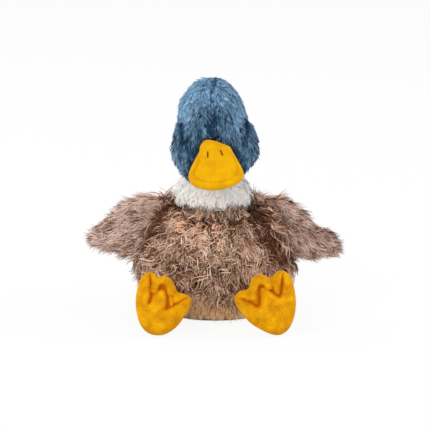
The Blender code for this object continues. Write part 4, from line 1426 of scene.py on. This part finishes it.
stitch_points = on_bill(bill_stitch_line, bill_front(bill_stitch_line) + 0.15 * mm)
stitch_length = 4
starts = range(0, len(stitch_points) - stitch_length + 1, stitch_length + 1)
dashes = [stitch_points[i:i + stitch_length] for i in starts]
thread("bill_stitches", dashes, 0.18 * mm, yellow_thread, ["bill_topstitch"])
for line, label in zip(nostril_lines, ("right", "left")):
    run = np.linspace(0, 1, 5)[:, None]
    spots = line[0] + (line[1] - line[0]) * run
    thread(f"nostril_{label}", [on_bill(spots, bill_front(spots) + 0.2 * mm)], 0.42 * mm,
           brown_thread, [f"nostril_stitch_{label}"])
print("Stitches:", len(dashes))

# %% [markdown]
# ## The head's pile
# It is combed once the bill is in place, because it hangs over the bill's root. It lies down and
# away from a whorl at the back of the crown. On each side of the parting the strands lean in and
# meet, and the zig-zag line between them is painted shade. Round the bill's root and in the eyes'
# slits the light doesn't get in, so the strands there are painted darker as shade. The top and the
# sides of the crown are painted paler, as painted light and sheen.

# %% How the head's pile lies
whorl = np.array([-2.8 * mm, 22 * mm, cad_high[2] - 4 * mm])


def head_nap(places, normals):
    """Down, towards the seam on the forehead, and in to the bill's corners on the cheeks."""
    x, y, z = places.T
    nap = np.tile(down, (len(places), 1))
    nap += unit(places - whorl) * np.clip(normals[:, 2:], 0, 1)
    front = falling(y, 0, 18 * mm)
    off_seam = x - seam_side(z)
    steep = 1 - np.abs(normals[:, 2])
    nap[:, 0] -= 0.55 * np.sign(off_seam) * hill((off_seam, 9 * mm)) * front * steep
    nap[:, 0] -= 0.5 * np.sign(x) * falling(z, eye_height - 14 * mm, 14 * mm) * front
    for aside, above in from_slits(places):
        nap[:, 0] += 0.15 * np.sign(aside) * hill((aside, 3 * mm), (above, 8 * mm)) * front
    nap[:, 1] += 0.25 * (1 - front)
    return nap


def head_chance(places, normals):
    """No strands behind the bill, on the parting, over the eyes or inside the collar."""
    x, y, z = places.T
    keep = from_neck(places) > 29 * mm
    for aside, above in from_slits(places):
        keep &= (aside / (1.2 * mm)) ** 2 + (above / (5 * mm)) ** 2 > 1
    parting = (np.abs(x - seam_side(z)) < 0.9 * mm) & (y < 0)
    behind_bill = (y < -20 * mm) & (depth_inside(in_picture(places), bill_loop) > 2.0)
    return (keep & ~parting & ~behind_bill) + tiny


def head_short(places):
    """Shorter along the parting and round the eyes, so that they stay open, and on the crown."""
    x, y, z = places.T
    forehead = (y < 0) & (z > 0.140)
    share = 1 - 0.5 * hill((np.abs(x - seam_side(z)), 2.4 * mm)) * forehead
    share *= 1 - 0.2 * rising(z, 0.165, 15 * mm)
    for aside, above in from_slits(places):
        share *= 1 - 0.45 * hill((aside, 2.5 * mm), (above - 2 * mm, 8 * mm))
    return share


# %% Pile of the head
def head_shade(places):
    """Painted light atop the crown; painted shade at parting, bill, eyes; darker mid-face and
    cheeks.
    """
    x, y, z = places.T
    front = falling(y, 0, 12 * mm)
    off_seam = np.abs(x - seam_side(z))
    # Painted highlight: the sheen along the sides of the crown.
    side = rising(off_seam, 10 * mm, 12 * mm) * rising(z, eye_height, 10 * mm)
    # Painted light on the crown and its top, where strands seen end-on would look dark.
    crown = rising(z, 0.162, 16 * mm)
    top = rising(z, brow, 10 * mm)
    middle = hill((off_seam, 14 * mm)) * (1 - crown)
    cheeks = falling(z, eye_height + 2 * mm, 8 * mm)
    # Painted shade round the bill's root and, below, in the eyes' slits.
    outside = np.maximum(0, -depth_inside(in_picture(places), bill_loop))
    root = hill((outside, 4.0)) * (y < -10 * mm)
    eyes = np.zeros(len(places))
    for aside, above in from_slits(places):
        eyes = np.maximum(eyes, hill((aside, 2.0 * mm), (above, 6 * mm)))
    # Painted shade in the parting.
    parting = front * falling(z, brow, 12 * mm) * hill((off_seam, 2.4 * mm))
    return (0.06 + 0.06 * crown + 0.14 * top + 0.18 * side
            - 0.24 * front * np.maximum(middle, cheeks)
            - 0.6 * parting * (1 - top) - 1.2 * root - 1.6 * eyes)


coat("head_pile", head_skin, silky_pile, "head", count=30000, guides=7000,
     length=6.8 * mm, lift=0.38, droop=0.5, wave=(0.3 * mm, 8 * mm), nap=head_nap,
     chance=head_chance, turn=0.25, pinch=0.5, radius=0.22 * mm, steps=5, patch=20 * mm,
     short=head_short, shade=head_shade, spread=0.19, twist=0.2, over=(bill_mesh, *eye_meshes),
     seed=7)

# %% [markdown]
# ## Feet
# The soles face the camera with the toes up. Stuffing fills the middle, and the velour is tucked
# between the toes: a rolled middle toe arches over a hollow, and deep folds run down beside it.
# Toes and folds could be sculpted by hand. Here they are pads on the pillow: a pad is a rounded
# plateau inside its own outline, and the highest pad wins at each point, so the seams between
# pads become valleys, as they do in stuffed cloth.

# %% Lines of the feet
feet = {
    "left": {
        "outline": (
            (234.3, 300), (236.3, 294.3), (240, 291), (246, 289.8), (249, 287.5), (250, 282.5),
            (253.2, 277), (258.5, 274.4), (264.5, 275), (269, 277.8), (272, 276.6),
            (275.6, 272.8), (281, 270.5), (286.4, 272.3), (291.5, 278.5), (294.7, 290),
            (296, 303.5), (294.3, 317), (289.5, 328), (282, 334.3), (273, 334.6),
            (260.5, 329.5), (249.3, 322), (241, 312), (236.5, 305.5)),
        "pads": (
            ((234, 300.5), (237.5, 298.2), (249, 302.2), (258.6, 306.8), (260.3, 300),
             (260, 289), (262.5, 286.8), (266, 287.5), (272, 291.5), (278.6, 296.4),
             (281.6, 294.5), (283.4, 282), (284, 272), (292, 276), (297, 291), (298, 305),
             (295, 322), (288, 334), (277, 337), (258, 331), (243, 317)),
            ((235, 297.5), (238, 292), (242.5, 289), (248, 289.5), (250.4, 294), (249, 301),
             (243, 299.2)),
            ((272.5, 285), (270.8, 281), (274.5, 274), (279.5, 270), (282.9, 272), (282, 281),
             (279.3, 294), (274, 290.5)),
            ((251, 296.5), (254.5, 290.5), (258.8, 290), (259.2, 297), (257.6, 304.5),
             (252.5, 302.5)),
        ),
        "base": (3.2, 3.0, 3.2, 2.6),
        "lift": (3.8, 3.8, 4.0, 2.4),
        "round": (6.0, 4.2, 4.4, 3.0),
        "arch": ((252.6, 296), (253.2, 288), (255.8, 281.8), (261, 279.4), (266.2, 281.2),
                 (268.6, 285)),
        "arch_radius": 4.7,
    },
    "right": {
        "outline": (
            (149, 271.8), (143.5, 275), (139.3, 281.5), (137, 290), (135.6, 301), (136.5, 312),
            (140, 324), (147, 332.3), (156, 335.2), (166, 334), (177, 326.5), (185, 315.5),
            (190, 307), (191.2, 300.4), (188.5, 296), (183, 293.4), (178, 292.6),
            (175.6, 288), (172.5, 281), (168.2, 276.8), (163, 275.6), (159.4, 277.4),
            (157, 275.8), (153, 272.6)),
        "pads": (
            ((148.8, 271), (149.6, 277.5), (150.6, 286), (150.4, 295), (148.2, 303.4),
             (151.2, 301), (152.6, 295.5), (156.5, 290.8), (162.5, 288.6), (165.6, 291),
             (167, 297), (166.6, 303), (165.2, 309.5), (169.2, 308.5), (175.6, 304.8),
             (187, 298.2), (192.5, 299), (191, 309), (183, 321), (170, 335), (155, 337),
             (141, 329), (134.5, 312), (134.5, 298), (138, 281), (143, 273)),
            ((150.2, 274.4), (152, 271.8), (157.6, 276), (157.8, 280.5), (154.6, 285.2),
             (151.6, 281)),
            ((173.6, 293.6), (178, 292), (183, 292.4), (188.4, 295.4), (185.4, 298.4),
             (175.8, 303.4), (172.6, 299)),
            ((169.4, 291), (172.2, 293), (173, 298), (174.2, 303.8), (171, 306.6), (169, 301)),
        ),
        "base": (3.2, 3.0, 3.0, 2.8),
        "lift": (3.8, 3.6, 3.8, 3.0),
        "round": (6.0, 3.8, 4.2, 2.4),
        "arch": ((154.6, 289.5), (155.6, 284.4), (158.8, 281), (163.4, 280), (167.6, 282.2),
                 (169.8, 287), (171, 292)),
        "arch_radius": 3.9,
    },
}

# %% Feet
foot_lean = math.radians(10)
foot_normal = Vector((0, -math.cos(foot_lean), math.sin(foot_lean)))
foot_up = Vector((0, math.sin(foot_lean), math.cos(foot_lean)))
foot_half_thickness = 6.5 * mm
fold_softness = 0.35 * mm
pad_growth = 0.15 * mm
web_slope = 0.8
web_height = 1.0 * mm
pad_top = 7.0 * mm
sole_rounding, upper_rounding = 5.0 * mm, 6.5 * mm


def make_foot(label, shape):
    """A sole with its toes, tucks and folds, and a plain rounded upper."""
    middle = middle_of(f"foot_sole_{label}", f"foot_upper_{label}")
    axes = (middle, right_hand, foot_up, foot_normal)
    outline = smooth_loop(on_plane(shape["outline"], *axes), 260)
    pads = [smooth_loop(on_plane(pad, *axes), 90) for pad in shape["pads"]]
    arch = smooth_line(on_plane(shape["arch"], *axes), 40)
    arch_radius = shape["arch_radius"] * pixel

    def front(flat):
        """The highest of the pads, the rolled toe and the web between them, softly joined."""
        heights = []
        for pad, base, lift, radius in zip(pads, shape["base"], shape["lift"], shape["round"]):
            depth = depth_inside(flat, pad) + pad_growth
            inside = (base + lift * rounded(depth, radius * mm)) * mm
            heights.append(np.where(depth > 0, inside, base * mm + web_slope * depth))
        near = arch_radius - line_distance(flat, arch)
        roll = (3.2 + 4.8 * rounded(near, arch_radius)) * mm
        heights.append(np.where(near > 0, roll, 3.2 * mm + web_slope * near))
        heights.append(np.full(len(flat), web_height))
        stack = np.array(heights) / fold_softness
        top = stack.max(axis=0)
        height = (top + np.log(np.exp(stack - top).sum(axis=0))) * fold_softness
        edge = rounded(depth_inside(flat, outline), sole_rounding)
        return (height + puckers(flat, 7 * mm, 11)) * edge

    def back(flat):
        """The upper, plain and rounded."""
        return foot_half_thickness * rounded(depth_inside(flat, outline), upper_rounding)

    mesh = pillow(f"foot_{label}", outline, outline.mean(axis=0) + np.array((0, -4 * mm)), 70,
                  front, back, placer(*axes))
    away = coordinates(mesh) - np.array(middle)
    flat = away @ np.array([right_hand, foot_up]).T
    depth = depth_inside(flat, outline)
    # Painted shade: how deep in a fold each point of the sole lies, which deepens its colour there.
    fold_shade_weight = (pad_top * rounded(depth, sole_rounding) - front(flat) - 0.6 * mm) / (3.2 * mm)
    fold_shade_weight = np.clip(fold_shade_weight, 0, 1) * (away @ np.array(foot_normal) > 0)
    fold_shade = mesh.attributes.new("fold", "FLOAT", "POINT")
    fold_shade.data.foreach_set("value", fold_shade_weight.astype(np.float32))
    puff(mesh, 0.5 * mm, square=2.4 * mm, hold=np.clip(depth / (3 * mm), 0, 1))
    points = coordinates(mesh)
    points[:, 2] = np.maximum(points[:, 2], 0.1 * mm)
    place_points(mesh, points)
    piece = show(f"foot_{label}", mesh, sole_velour, f"{label}_foot",
                 [f"foot_sole_{label}", f"foot_upper_{label}"])
    fill_pillow(f"foot_filling_{label}", mesh, f"foot_padding_{label}", f"{label}_foot")
    print("Foot", label, "points:", len(mesh.vertices))


for label, shape in feet.items():
    make_foot(label, shape)

# %% [markdown]
# ## Legs
# Short limp tubes of velour, half hidden behind the feet. The skin round their solids is enough.

# %% Legs
for label in ("left", "right"):
    skin = wrap(f"leg_{label}_skin", [f"leg_cover_{label}", f"leg_stuffing_{label}"],
                square=1.2 * mm, sink=0.5 * mm)
    puff(skin, 0.5 * mm, square=2.4 * mm)
    show(f"leg_{label}_skin", skin, yellow_velour, f"{label}_leg",
                   [f"leg_cover_{label}"])
    fill_pillow(f"leg_filling_{label}", skin, f"leg_stuffing_{label}", f"{label}_leg")

# %% [markdown]
# ## What stays hidden
# The bean bag and the eyes' washers stay as the solids that they are, inside the covers. The bag
# is the cotton from above. The washers are moulded nylon without dye: milky and half matt.

# %% Inside
milky_nylon, tree, shader = new_finish("milky_nylon")
set_inputs(tree, shader, {"Base Color": linear("#DCDCD4"), "Roughness": 0.4})
for name, node in frame["nodes"].items():
    if name == "bean_bag" or "washer" in name:
        node.data.materials.clear()
        node.data.materials.append(bean_cloth if name == "bean_bag" else milky_nylon)
